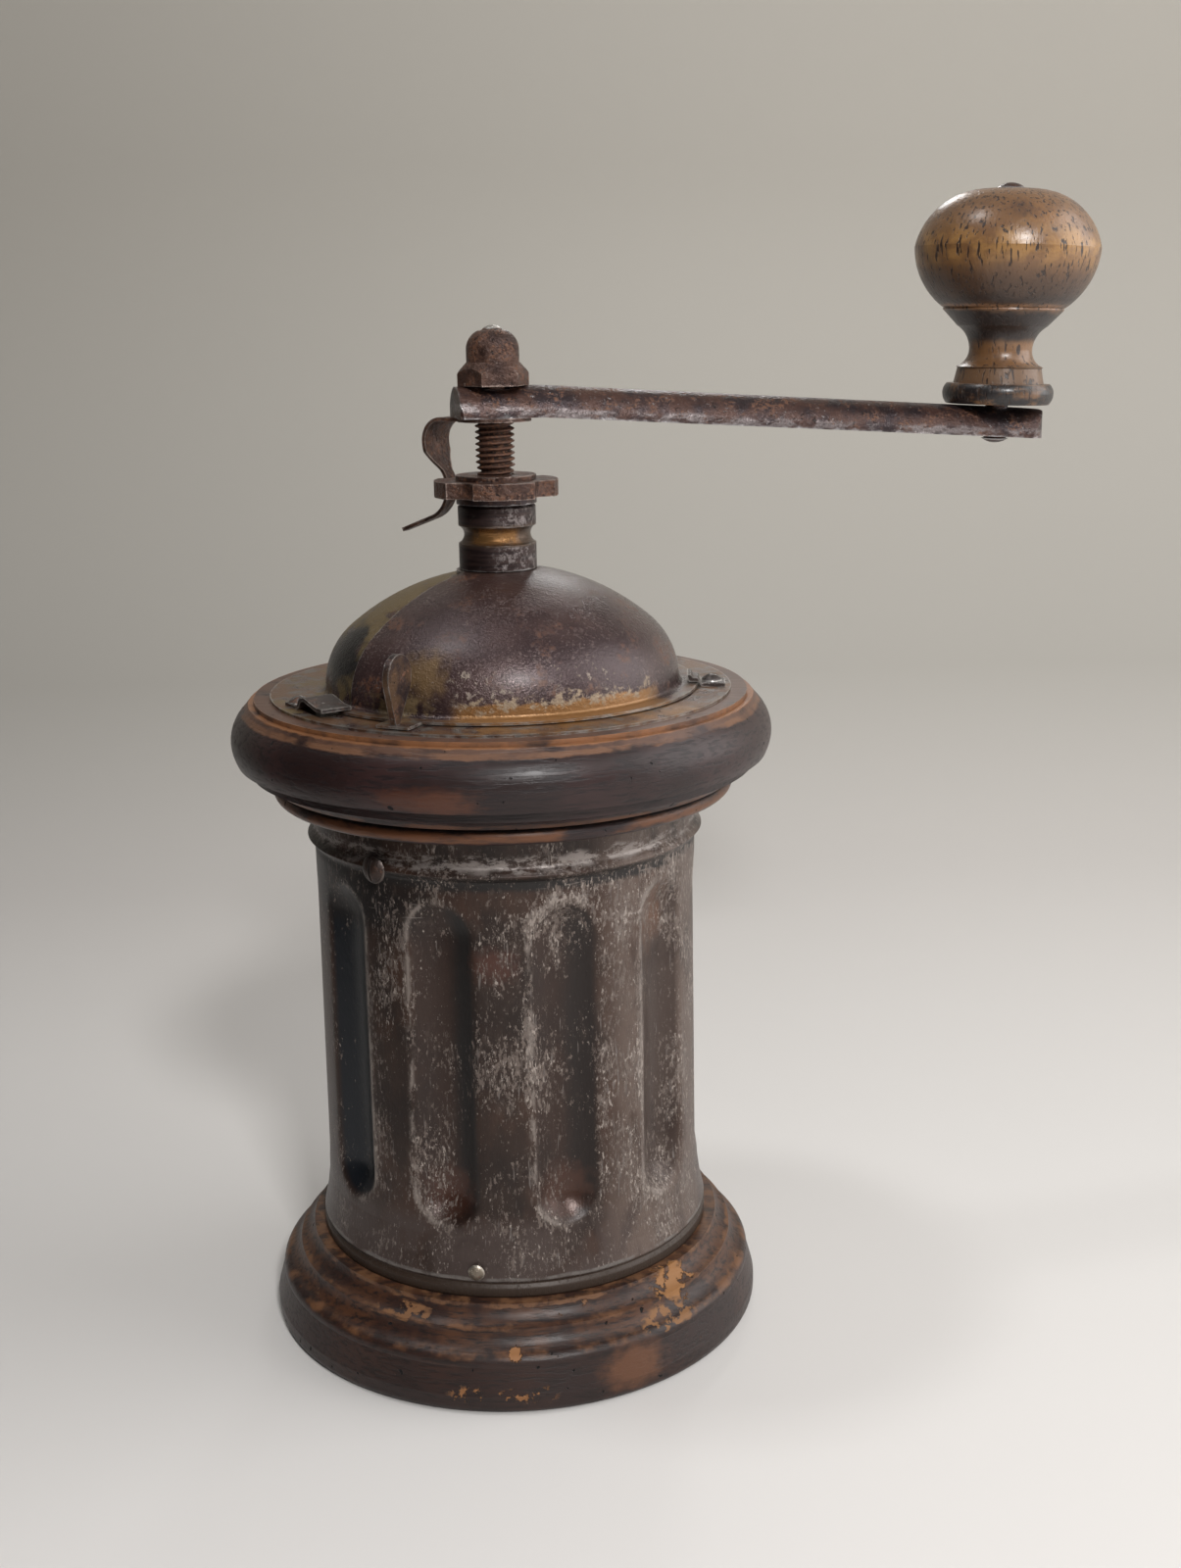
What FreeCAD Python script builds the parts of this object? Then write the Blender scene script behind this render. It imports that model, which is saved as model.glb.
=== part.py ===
# Manual column coffee grinder, in millimetres.
# The origin is the centre of the base's underside and +Z is up. The front, with the dome's
# filling window, faces -Y, the drawer opens along +Y and the crank points along +X at rest.
import FreeCAD
import Part
import Sketcher
import math
import os

doc = FreeCAD.newDocument("coffee_grinder")
sheet = doc.addObject("Spreadsheet::Sheet", "Sizes")

# Every independent size, written once: name, value in millimetres or degrees, meaning.
SIZES = [
    ("sheet_metal", 0.6, "thickness of the column's and the dome's sheet"),
    ("slip", 0.05, "running clearance of a shaft, and of faces that slide on each other"),
    ("seat_gap", 0.2, "loose fit of wood or sheet inside sheet"),
    ("base_radius", 55.6, "base, largest radius"),
    ("base_foot_round", 1.8, "base, rounding of the lowest edge"),
    ("base_belt_height", 4.0, "base, top of its widest belt"),
    ("base_shoulder_radius", 54.0, "base, radius below the upper rounding"),
    ("base_shoulder_height", 9.8, "base, height below the upper rounding"),
    ("base_edge_radius", 52.4, "base, radius at the upper edge"),
    ("base_edge_height", 12.5, "base, height of the upper edge"),
    ("base_edge_round", 2.4, "base, rounding of the upper edge"),
    ("base_step_radius", 49.8, "base, edge between its two coves"),
    ("base_step_height", 16.5, "base, height of that edge"),
    ("base_cove", 4.6, "base, radius of its coves"),
    ("base_top_radius", 46.6, "base, edge of its top face"),
    ("base_top_height", 20.5, "base, height of its top face"),
    ("base_spigot_height", 33.9, "base, top of the spigot inside the column"),
    ("nail_height", 26.1, "height of the nails in the column's foot"),
    ("nail_count", 3, "nails in the column's foot"),
    ("nail_angle", -101.4, "direction of the first nail, from +X"),
    ("nail_shank", 0.8, "nail, shank radius"),
    ("nail_head", 1.8, "nail, head radius"),
    ("nail_dome", 0.9, "nail, head height"),
    ("nail_length", 8.0, "nail, shank length"),
    ("shell_low_radius", 42.5, "column, radius above its flared foot"),
    ("shell_top_radius", 41.8, "column, radius at its top"),
    ("shell_hem_radius", 44.1, "column, radius of the hem at its foot"),
    ("shell_hem_height", 2.0, "column, height of the hem"),
    ("shell_groove_radius", 43.5, "column, radius of the groove above the hem"),
    ("shell_flare_radius", 44.0, "column, lower radius of the flare"),
    ("shell_flare_rise", 3.7, "column, from its edge up to the flare"),
    ("shell_flare_top", 33.0, "column, height where the flare ends"),
    ("shell_bead_radius", 43.4, "column, crest of the rolled bead"),
    ("shell_bead_drop", 8.5, "column, from its upper edge down to the bead's crest"),
    ("shell_bead_half", 1.6, "column, half of the bead's height"),
    ("flute_count", 8, "column, number of pressed flutes"),
    ("flute_pitch", 35.5, "column, angle from flute to flute"),
    ("flute_middle", -92.1, "column, direction of the middle of the flutes, from +X"),
    ("flute_half_width", 7.15, "column, half of a flute's width"),
    ("flute_depth", 2.7, "column, depth of a flute at mid height"),
    ("flute_bottom", 35.6, "column, lowest point of a flute"),
    ("flute_top", 106.6, "column, highest point of a flute"),
    ("seam_width", 6.0, "column, width of the folded seam"),
    ("seam_rise", 0.6, "column, how far the seam stands out"),
    ("window_half_width", 23.0, "drawer opening, half of its width"),
    ("window_bottom", 34.1, "drawer opening, lower edge"),
    ("window_top", 72.5, "drawer opening, upper edge"),
    ("cornice_bottom", 121.5, "cornice, underside"),
    ("cornice_bead_radius", 49.2, "cornice, radius of the lower bead's faces"),
    ("cornice_bead_top", 124.6, "cornice, top of the lower bead"),
    ("cornice_bead_round", 1.7, "cornice, rounding of the lower bead"),
    ("cornice_cove_start", 50.9, "cornice, lower radius of its cove"),
    ("cornice_cove_end", 54.9, "cornice, upper radius of its cove"),
    ("cornice_cove_bottom", 125.2, "cornice, lower height of its cove"),
    ("cornice_cove_top", 127.6, "cornice, upper height of its cove"),
    ("cornice_cove_round", 4.0, "cornice, radius of its cove"),
    ("cornice_fillet_height", 129.3, "cornice, height of the fillet under the torus"),
    ("cornice_low_radius", 57.6, "cornice, lower radius of the torus"),
    ("cornice_low_height", 130.0, "cornice, lower height of the torus"),
    ("cornice_side_height", 131.2, "cornice, start of the torus's rounding"),
    ("cornice_side_radius", 58.1, "cornice, radius there"),
    ("cornice_round", 8.6, "cornice, rounding of the torus"),
    ("cornice_upper_radius", 55.9, "cornice, upper radius of the torus"),
    ("cornice_upper_height", 140.6, "cornice, upper height of the torus"),
    ("cornice_ledge_radius", 54.6, "cornice, radius of the ledge round the top"),
    ("cornice_ledge_height", 142.2, "cornice, height of that ledge"),
    ("cornice_face_radius", 53.4, "cornice, radius of its top face"),
    ("cornice_top", 143.2, "cornice, height of its top face"),
    ("cornice_bore", 30.0, "cornice, radius of the bean passage"),
    ("cornice_spigot_bottom", 108.0, "cornice, lower end of the spigot in the column"),
    ("shell_screw_drop", 8.7, "column screws, below the column's upper edge"),
    ("shell_screw_count", 2, "column screws, number"),
    ("shell_screw_angle", -128.6, "direction of the first of them, from +X"),
    ("small_screw_shank", 1.3, "wood screws, shank radius"),
    ("shell_screw_shank", 1.1, "column screws, shank radius"),
    ("shell_screw_head", 3.0, "column screws, head radius"),
    ("screw_dome", 1.5, "round screw heads, height"),
    ("shell_screw_length", 7.0, "column screws, length under the head"),
    ("flange_radius", 49.9, "dome, radius of its flange"),
    ("dome_radius", 37.9, "dome, outer radius"),
    ("dome_foot_round", 1.5, "dome, fillet to the flange"),
    ("dome_shoulder_round", 16.0, "dome, radius of the shoulder's arc"),
    ("dome_height", 24.0, "dome, from the shoulder's centre up to the crown"),
    ("land_radius", 9.0, "dome, flat land under the collar"),
    ("filling_angle", 100.0, "dome, width of the filling window"),
    ("filling_bottom", 147.4, "dome, lower edge of the filling window"),
    ("filling_top", 162.5, "dome, upper edge of the filling window"),
    ("cover_gap", 0.25, "cover, clearance outside the dome"),
    ("cover_sheet", 0.55, "cover, sheet thickness"),
    ("cover_angle", 168.0, "cover, how far it reaches round"),
    ("cover_middle", -59.0, "cover, direction of its middle, from +X"),
    ("cover_foot_radius", 42.8, "cover, outer radius of its foot"),
    ("tab_angle", -116.4, "tab, direction of its foot and of its plane, from +X"),
    ("tab_radius", 47.2, "tab, distance of its foot from the axis"),
    ("tab_head", 4.65, "tab, radius of its round head"),
    ("tab_head_height", 9.15, "tab, height of the head's middle"),
    ("tab_lean", 1.5, "tab, how far the head's middle lies inside the foot's"),
    ("tab_stem", 0.7, "tab, half width of its foot"),
    ("tab_sheet", 1.3, "tab, thickness"),
    ("lug_half_width", 3.6, "cover, half width of the lug under the tab"),
    ("lug_radius", 48.4, "cover, outer end of that lug"),
    ("clip_sheet", 0.8, "clips, thickness"),
    ("clip_lift", 0.3, "clips, clearance over the cover's foot"),
    ("clip_foot", 43.5, "right clip, radius where its foot ends"),
    ("clip_outer", 48.6, "right clip, outer end"),
    ("clip_inner", 40.4, "right clip, inner end"),
    ("clip_curl", 1.6, "right clip, height of its curled end"),
    ("right_clip_angle", -6.0, "right clip, direction, from +X"),
    ("right_clip_width", 6.5, "right clip, width"),
    ("left_clip_angle", -156.9, "left clip, direction of its screw, from +X"),
    ("left_clip_radius", 45.7, "left clip, distance of its screw from the axis"),
    ("left_clip_turn", -59.0, "left clip, direction in which it points, from +X"),
    ("left_clip_width", 6.7, "left clip, width"),
    ("left_clip_shift", 1.3, "left clip, from its screw to its middle line"),
    ("left_clip_reach", 14.7, "left clip, length in front of its screw"),
    ("left_clip_back", 2.5, "left clip, length behind its screw"),
    ("left_clip_step", 2.4, "left clip, from its screw to where it rises"),
    ("left_clip_rise", 60.0, "left clip, steepness of its rising flank"),
    ("left_clip_fall", 12.0, "left clip, steepness of its falling part"),
    ("left_clip_bend", 1.6, "left clip, radius of the bend where it rises"),
    ("left_clip_crest", 2.9, "left clip, radius of its crest and of its last bend"),
    ("left_clip_lift", 0.35, "left clip, clearance over the cover's foot"),
    ("dome_clearance", 1.7, "left clip, clearance of its trimmed end round the cover"),
    ("clip_screw_radius", 45.7, "right clip's screw, distance from the axis"),
    ("clip_screw_head", 2.3, "clip screws, head radius"),
    ("clip_screw_length", 9.0, "clip screws, length under the head"),
    ("collar_radius", 8.3, "collar, outer radius"),
    ("collar_height", 13.7, "collar, height above the cover"),
    ("collar_shank", 6.0, "collar, radius of its shank in the dome"),
    ("collar_lip", 8.0, "collar, radius of the riveted lip inside the dome"),
    ("collar_lip_height", 1.1, "collar, height of that lip"),
    ("collar_groove_bottom", 5.4, "collar, from its underside up to the groove"),
    ("collar_groove_height", 3.8, "collar, height of the groove"),
    ("collar_groove_depth", 1.2, "collar, depth of the groove"),
    ("collar_groove_round", 2.2, "collar, radius of the groove's section"),
    ("washer_radius", 8.55, "thrust washer, radius"),
    ("washer_height", 1.5, "thrust washer, thickness"),
    ("nut_radius", 13.2, "star nut, radius"),
    ("nut_height", 3.4, "star nut, thickness"),
    ("nut_notches", 4, "star nut, number of lobes and of the valleys between them"),
    ("nut_notch_depth", 2.2, "star nut, depth of a valley"),
    ("nut_notch_round", 4.5, "star nut, radius of a valley"),
    ("nut_notch_angle", 143.0, "star nut, direction of the valley the spring rests in"),
    ("nut_hub_radius", 8.55, "star nut, radius of its hub"),
    ("nut_hub_height", 1.05, "star nut, height of its hub"),
    ("spindle_radius", 3.9, "spindle, radius"),
    ("journal_radius", 3.2, "spindle, radius of the lower journal"),
    ("journal_bottom", 71.0, "spindle, lower end"),
    ("journal_top", 78.6, "spindle, top of the lower journal"),
    ("square_half", 2.75, "spindle, half width of the square under the crank"),
    ("arm_bottom", 201.1, "crank, underside of its hub"),
    ("tip_radius", 2.7, "spindle, radius of the tip in the cap nut"),
    ("tip_top", 220.1, "spindle, top of the tip"),
    ("spring_sheet", 0.8, "spring, thickness"),
    ("spring_eye", 7.8, "spring, radius of its eye"),
    ("spring_width", 8.4, "spring, width of the leaf"),
    ("spring_tongue", 3.2, "spring, width in the nut's valley"),
    ("spring_point", 1.6, "spring, width of its tip"),
    ("spring_bow", 16.0, "spring, greatest distance of its bow from the axis"),
    ("spring_bow_round", 4.6, "spring, radius of its bow"),
    ("spring_lean", 35.0, "spring, lean of the leaf below its bow"),
    ("spring_lean_round", 8.0, "spring, radius from the bow to the leaning leaf"),
    ("spring_entry_round", 6.0, "spring, radius where the leaf enters the valley"),
    ("spring_notch", 12.1, "spring, distance of its tongue from the axis"),
    ("spring_curl", 70.0, "spring, angle of the curl below the nut"),
    ("spring_curl_round", 7.0, "spring, radius of that curl"),
    ("spring_tip", 25.5, "spring, distance of its tip from the axis"),
    ("arm_half_width", 6.5, "crank, half width of its half-round section"),
    ("arm_angle", 12.0, "crank, direction at rest, from +X"),
    ("arm_back", 8.3, "crank, from the axis to its blunt end"),
    ("arm_bend", 9.2, "crank, distance from the axis to where it slopes down"),
    ("arm_bend_run", 1.2, "crank, length of that bend on each side"),
    ("arm_slope", 3.94, "crank, slope of the arm"),
    ("arm_reach", 115.9, "crank, from the axis to the knob's pin"),
    ("arm_past", 10.7, "crank, from the pin's middle to its rounded end"),
    ("arm_chamfer", 0.6, "crank, bevel of its blunt end"),
    ("arm_end_round", 7.0, "crank, radius of the rounded end"),
    ("arm_tip_round", 1.2, "crank, rounding of its end, seen from the side"),
    ("cap_flats", 13.3, "cap nut, across its flats"),
    ("cap_hex_height", 4.9, "cap nut, height of the hexagon"),
    ("cap_dome_radius", 5.55, "cap nut, radius of its dome"),
    ("cap_round", 4.2, "cap nut, rounding of the dome's top"),
    ("cap_bevel", 48.0, "cap nut, steepness of the bevel over its hexagon"),
    ("cap_height", 11.6, "cap nut, height"),
    ("pin_lean", 1.9, "knob's pin, lean away from the spindle"),
    ("pin_radius", 2.5, "knob's pin, radius"),
    ("pin_head", 3.3, "knob's pin, radius of its head"),
    ("pin_dome", 1.4, "knob's pin, height of its head"),
    ("knob_bottom", 3.86, "knob, underside above the arm's middle"),
    ("knob_foot_radius", 12.3, "knob, radius of the foot ring"),
    ("knob_foot_height", 4.5, "knob, height of its foot ring"),
    ("knob_foot_widest", 2.4, "knob, height of the foot ring's largest radius"),
    ("knob_foot_edge", 0.9, "knob, how far the edges of the foot ring are drawn in"),
    ("knob_band_height", 3.4, "knob, height of the band over the foot ring"),
    ("knob_band_radius", 10.0, "knob, radius of that band at its foot"),
    ("knob_band_top", 9.3, "knob, radius of that band at its top"),
    ("knob_band_bead", 0.35, "knob, height of the thin bead that ends it"),
    ("knob_neck_radius", 6.95, "knob, radius of the neck"),
    ("knob_radius", 20.3, "knob, largest radius"),
    ("knob_neck_height", 15.7, "knob, height of the neck"),
    ("knob_flare_height", 20.9, "knob, end of the neck's hollow"),
    ("knob_flare_radius", 9.9, "knob, radius at that end"),
    ("knob_bead_height", 24.5, "knob, height of the bead line"),
    ("knob_belly_height", 37.7, "knob, height of the largest radius"),
    ("knob_top", 50.1, "knob, top"),
    ("knob_top_radius", 5.0, "knob, radius of the flat under the pin's head"),
    ("bowl_flange", 37.4, "outer burr, radius of its flange"),
    ("bowl_flange_height", 3.0, "outer burr, thickness of its flange"),
    ("bowl_mouth", 29.5, "outer burr, radius of its mouth"),
    ("throat_radius", 15.0, "outer burr, radius of the throat"),
    ("throat_height", 97.0, "outer burr, height of the throat"),
    ("ring_radius", 18.8, "outer burr, inner radius at the bottom"),
    ("ring_outer", 24.6, "outer burr, outer radius at the bottom"),
    ("ring_bottom", 80.0, "outer burr, bottom"),
    ("tooth_count", 24, "burrs, number of fine teeth"),
    ("tooth_width", 1.9, "burrs, width of a fine groove"),
    ("tooth_depth", 1.0, "burrs, depth of a fine groove"),
    ("tooth_slant", 1.6, "burrs, half of a groove's slant"),
    ("burr_gap", 0.7, "burrs, gap between the cones at rest"),
    ("burr_bottom", 79.0, "inner burr, bottom"),
    ("burr_waist", 86.0, "inner burr, height where the fine cone starts"),
    ("burr_nose_radius", 7.6, "inner burr, radius of its nose"),
    ("burr_nose", 100.0, "inner burr, height of its nose"),
    ("blade_count", 6, "inner burr, number of breaking blades"),
    ("blade_groove", 5.2, "inner burr, width of the grooves between the blades"),
    ("blade_depth", 2.4, "inner burr, depth of those grooves"),
    ("drive_pin_radius", 1.4, "burr pin, radius"),
    ("drive_pin_length", 15.0, "burr pin, length"),
    ("bridge_top", 77.2, "bridge, top of the bar"),
    ("bridge_height", 3.5, "bridge, thickness"),
    ("bridge_half_width", 5.0, "bridge, half width"),
    ("bridge_boss", 6.6, "bridge, radius of the bearing boss"),
    ("bridge_boss_bottom", 71.4, "bridge, lower end of the boss"),
    ("bridge_screw_radius", 22.4, "bridge screws, distance from the axis"),
    ("bridge_screw_shank", 1.3, "bridge screws, shank radius"),
    ("bridge_screw_head", 2.6, "bridge screws, head radius"),
    ("bridge_screw_length", 14.0, "bridge screws, length under the head"),
    ("burr_screw_radius", 34.0, "burr screws, distance from the axis"),
    ("burr_screw_angle", 30.0, "burr screws, direction of the first, from +X"),
    ("burr_screw_count", 3, "burr screws, number"),
    ("burr_screw_head", 2.7, "burr screws, head radius"),
    ("burr_screw_length", 12.0, "burr screws, length under the head"),
    ("tray_half_width", 22.0, "drawer, half width of its tray"),
    ("tray_front", 28.0, "drawer, from the axis to the tray's far end"),
    ("tray_bottom", 34.3, "drawer, underside of the tray"),
    ("tray_top", 68.3, "drawer, rim of the tray"),
    ("tray_sheet", 0.8, "drawer, sheet thickness"),
    ("front_gap", 0.3, "drawer, clearance of its front outside the column"),
    ("front_half_angle", 35.5, "drawer, half of the angle its front covers"),
    ("front_bottom", 33.4, "drawer, lower edge of its front"),
    ("front_top", 75.4, "drawer, upper edge of its front"),
    ("drawer_knob_height", 54.0, "drawer, height of its knob"),
    ("drawer_knob_radius", 6.2, "drawer knob, radius"),
    ("drawer_knob_neck", 3.2, "drawer knob, neck radius"),
    ("drawer_knob_length", 10.5, "drawer knob, length"),
    ("rivet_radius", 1.2, "drawer rivet, radius"),
    ("rivet_head", 2.2, "drawer rivet, head radius"),
    ("rivet_dome", 0.7, "drawer rivet, head height"),
]


class Size:
    """A value together with the spreadsheet formula that gives it."""

    def __init__(self, value, formula):
        self.value = float(value)
        self.formula = formula

    def __add__(self, other):
        other = size(other)
        return Size(self.value + other.value, f"({self.formula} + {other.formula})")

    def __sub__(self, other):
        other = size(other)
        return Size(self.value - other.value, f"({self.formula} - {other.formula})")

    def __mul__(self, other):
        other = size(other)
        return Size(self.value * other.value, f"({self.formula} * {other.formula})")

    def __truediv__(self, other):
        other = size(other)
        return Size(self.value / other.value, f"({self.formula} / {other.formula})")

    def __radd__(self, other):
        return size(other) + self

    def __rsub__(self, other):
        return size(other) - self

    def __rmul__(self, other):
        return size(other) * self

    def __neg__(self):
        return size(0) - self


def size(thing):
    """Makes a Size of a plain number and leaves a Size as it is."""
    if isinstance(thing, Size):
        return thing
    return Size(thing, repr(float(thing)))


def root(thing):
    """The square root of a Size."""
    return Size(math.sqrt(thing.value), f"sqrt({thing.formula})")


def sine(angle):
    """The sine of a Size in degrees."""
    return Size(math.sin(math.radians(angle.value)), f"sin({angle.formula} * 1 deg)")


def cosine(angle):
    """The cosine of a Size in degrees."""
    return Size(math.cos(math.radians(angle.value)), f"cos({angle.formula} * 1 deg)")


def slope_angle(rise, run):
    """The angle in degrees whose tangent is rise over run."""
    angle = math.degrees(math.atan(rise.value / run.value))
    return Size(angle, f"(atan({rise.formula} / {run.formula}) / 1 deg)")


class Sheet:
    """Gives each named size of the spreadsheet as a Size."""

    def __init__(self, rows):
        self.values = {}
        for row, (name, value, meaning) in enumerate(rows, start=1):
            sheet.set(f"A{row}", meaning)
            sheet.set(f"B{row}", str(value))
            sheet.setAlias(f"B{row}", name)
            self.values[name] = value

    def __getattr__(self, name):
        return Size(self.values[name], f"Sizes.{name}")


S = Sheet(SIZES)
doc.recompute()

UP = FreeCAD.Vector(0, 0, 1)
sub_parts = []


def bind(thing, name, amount):
    """Ties a property to the sheet, after giving it its present value."""
    amount = size(amount)
    if "." not in name:
        setattr(thing, name, amount.value)
    thing.setExpression(name, amount.formula)


def keep(thing, label):
    """Names a finished sub-part and puts it on the list of those that are written."""
    thing.Label = label
    sub_parts.append(thing)
    return thing


def new_body(name):
    """A new body for one piece."""
    return doc.addObject("PartDesign::Body", name)


def origin_feature(body, role):
    """One of the body's own origin planes or axes."""
    for feature in body.Origin.OriginFeatures:
        if feature.Role == role:
            return feature
    raise ValueError(role)


def new_sketch(body, name, role, across=0, up=0, out=0, turn=0, axis=(0, 1, 0)):
    """A sketch on one of the body's origin planes, moved and turned in that plane's frame."""
    sketch = body.newObject("Sketcher::SketchObject", name)
    sketch.AttachmentSupport = [(origin_feature(body, role), "")]
    sketch.MapMode = "FlatFace"
    shifts = [size(across), size(up), size(out)]
    base = FreeCAD.Vector(shifts[0].value, shifts[1].value, shifts[2].value)
    turned = size(turn)
    rotation = FreeCAD.Rotation(FreeCAD.Vector(axis[0], axis[1], axis[2]), turned.value)
    sketch.AttachmentOffset = FreeCAD.Placement(base, rotation)
    for letter, shift in zip("xyz", shifts):
        if "Sizes" in shift.formula:
            sketch.setExpression(f"AttachmentOffset.Base.{letter}", shift.formula)
    if "Sizes" in turned.formula:
        sketch.setExpression("AttachmentOffset.Rotation.Angle", turned.formula)
    return sketch


def tie_corner(sketch, edge, end, across, up, label):
    """Fixes one corner of an outline at its place from the sketch's origin."""
    for kind, amount, line in (("DistanceX", across, -2), ("DistanceY", up, -1)):
        if amount.value == 0:
            sketch.addConstraint(Sketcher.Constraint("PointOnObject", edge, end, line))
            continue
        if amount.value < 0:
            amount = -amount
            rule = Sketcher.Constraint(kind, edge, end, -1, 1, amount.value)
        else:
            rule = Sketcher.Constraint(kind, -1, 1, edge, end, amount.value)
        number = sketch.addConstraint(rule)
        name = f"{label}_{kind[-1]}"
        sketch.renameConstraint(number, name)
        sketch.setExpression(f"Constraints.{name}", amount.formula)


def outline(sketch, steps, closed=True):
    """Draws an outline of lines and arcs, each corner tied to the sheet.

    A step is (across, up) for a line to that corner, or (across, up, radius) for an arc
    to it. A positive radius turns left on the way, a negative one right. An open outline
    starts at its first step.
    """
    corners = [(size(step[0]), size(step[1])) for step in steps]
    first = len(sketch.Geometry)
    ends = []
    for index, step in enumerate(steps):
        if not closed and index == 0:
            continue
        start = FreeCAD.Vector(corners[index - 1][0].value, corners[index - 1][1].value, 0)
        stop = FreeCAD.Vector(corners[index][0].value, corners[index][1].value, 0)
        if len(step) == 2:
            sketch.addGeometry(Part.LineSegment(start, stop))
            ends.append((1, 2))
            continue
        radius = size(step[2])
        chord = stop.sub(start)
        left = FreeCAD.Vector(-chord.y, chord.x, 0)
        left.normalize()
        reach = math.sqrt(radius.value ** 2 - (chord.Length / 2) ** 2)
        turn = math.copysign(1, radius.value)
        centre = start.add(stop).multiply(0.5).add(left.multiply(reach * turn))
        circle = Part.Circle(centre, UP, abs(radius.value))
        angles = []
        for point in (start, stop):
            angles.append(math.atan2(point.y - centre.y, point.x - centre.x))
        if turn < 0:
            angles.reverse()
            ends.append((2, 1))
        else:
            ends.append((1, 2))
        if angles[1] < angles[0]:
            angles[1] += 2 * math.pi
        sketch.addGeometry(Part.ArcOfCircle(circle, angles[0], angles[1]))
    if not closed:
        tie_corner(sketch, first, ends[0][0], corners[0][0], corners[0][1], "start")
        corners = corners[1:]
        steps = steps[1:]
    count = len(steps)
    for index in range(count if closed else count - 1):
        after = (index + 1) % count
        sketch.addConstraint(Sketcher.Constraint(
            "Coincident", first + index, ends[index][1], first + after, ends[after][0]))
    for index, (across, up) in enumerate(corners):
        tie_corner(sketch, first + index, ends[index][1], across, up, f"corner{first + index}")
        if len(steps[index]) == 3:
            radius = size(steps[index][2])
            if radius.value < 0:
                radius = -radius
            number = sketch.addConstraint(
                Sketcher.Constraint("Radius", first + index, radius.value))
            sketch.renameConstraint(number, f"arc{first + index}")
            sketch.setExpression(f"Constraints.arc{first + index}", radius.formula)
    return sketch


def circle(sketch, across, up, radius):
    """Draws a circle, its centre and radius tied to the sheet."""
    across = size(across)
    up = size(up)
    radius = size(radius)
    number = len(sketch.Geometry)
    middle = FreeCAD.Vector(across.value, up.value, 0)
    sketch.addGeometry(Part.Circle(middle, UP, radius.value))
    tie_corner(sketch, number, 3, across, up, f"centre{number}")
    rule = sketch.addConstraint(Sketcher.Constraint("Radius", number, radius.value))
    sketch.renameConstraint(rule, f"circle{number}")
    sketch.setExpression(f"Constraints.circle{number}", radius.formula)
    return sketch


def rectangle(low_across, low_up, high_across, high_up):
    """The corners of a rectangle, for an outline."""
    return [(low_across, low_up), (high_across, low_up),
            (high_across, high_up), (low_across, high_up)]


def upright_axis(sketch, across):
    """Adds a construction line parallel to the sketch's vertical axis, to turn about."""
    across = size(across)
    number = len(sketch.Geometry)
    low = FreeCAD.Vector(across.value, 0, 0)
    high = FreeCAD.Vector(across.value, 1, 0)
    sketch.addGeometry(Part.LineSegment(low, high), True)
    tie_corner(sketch, number, 1, across, size(0), f"axis{number}")
    sketch.addConstraint(Sketcher.Constraint("Vertical", number))
    sketch.addConstraint(Sketcher.Constraint("DistanceY", number, 1, number, 2, 1))


def turned(body, kind, sketch, axis="V_Axis", angle=None, middle=False):
    """Adds or cuts a turned form: kind is Revolution or Groove."""
    feature = body.newObject(f"PartDesign::{kind}", f"{sketch.Name}_{kind.lower()}")
    feature.Profile = sketch
    feature.ReferenceAxis = (sketch, [axis])
    if angle is None:
        feature.Angle = 360
    else:
        bind(feature, "Angle", angle)
    feature.Midplane = middle
    body.Tip = feature
    return feature


def pushed(body, kind, sketch, length, flip=False, middle=False):
    """Adds or cuts a straight form: kind is Pad or Pocket."""
    feature = body.newObject(f"PartDesign::{kind}", f"{sketch.Name}_{kind.lower()}")
    feature.Profile = sketch
    bind(feature, "Length", length)
    feature.Reversed = flip
    if middle:
        feature.SideType = "Symmetric"
    body.Tip = feature
    return feature


def repeated(body, feature, count, angle=None):
    """Repeats a feature round the body's Z axis, over a full turn unless an angle is given."""
    pattern = body.newObject("PartDesign::PolarPattern", f"{feature.Name}_pattern")
    pattern.Originals = [feature]
    pattern.Axis = (origin_feature(body, "Z_Axis"), [""])
    if angle is None:
        pattern.Angle = 360
    else:
        bind(pattern, "Angle", angle)
    if isinstance(count, Size):
        pattern.Occurrences = int(count.value)
        pattern.setExpression("Occurrences", count.formula)
    else:
        pattern.Occurrences = count
    body.Tip = pattern
    return pattern


def radial_holes(body, name, angle, height, low, high, radius, count):
    """Cuts equal holes that point at the axis, round the body."""
    sketch = new_sketch(body, name, "XZ_Plane", up=height, turn=angle)
    outline(sketch, rectangle(low, 0, high, radius))
    hole = turned(body, "Groove", sketch, axis="H_Axis")
    return repeated(body, hole, count)


def upright_holes(body, name, angle, distance, radius, top, depth, count):
    """Cuts equal holes parallel to the axis, downward from a height."""
    sketch = new_sketch(body, name, "XY_Plane", out=top, turn=angle, axis=(0, 0, 1))
    circle(sketch, distance, 0, radius)
    hole = pushed(body, "Pocket", sketch, depth)
    if count == 1:
        return hole
    return repeated(body, hole, count)


def cap_sphere(radius, rise):
    """The radius of the sphere whose cap has this radius and rise."""
    return (radius * radius + rise * rise) / (2 * rise)


def combine(kind, name, base, tool):
    """A boolean of two solids: kind is Cut, Fuse or Common."""
    feature = doc.addObject(f"Part::{kind}", name)
    feature.Base = base
    feature.Tool = tool
    return feature


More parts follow.
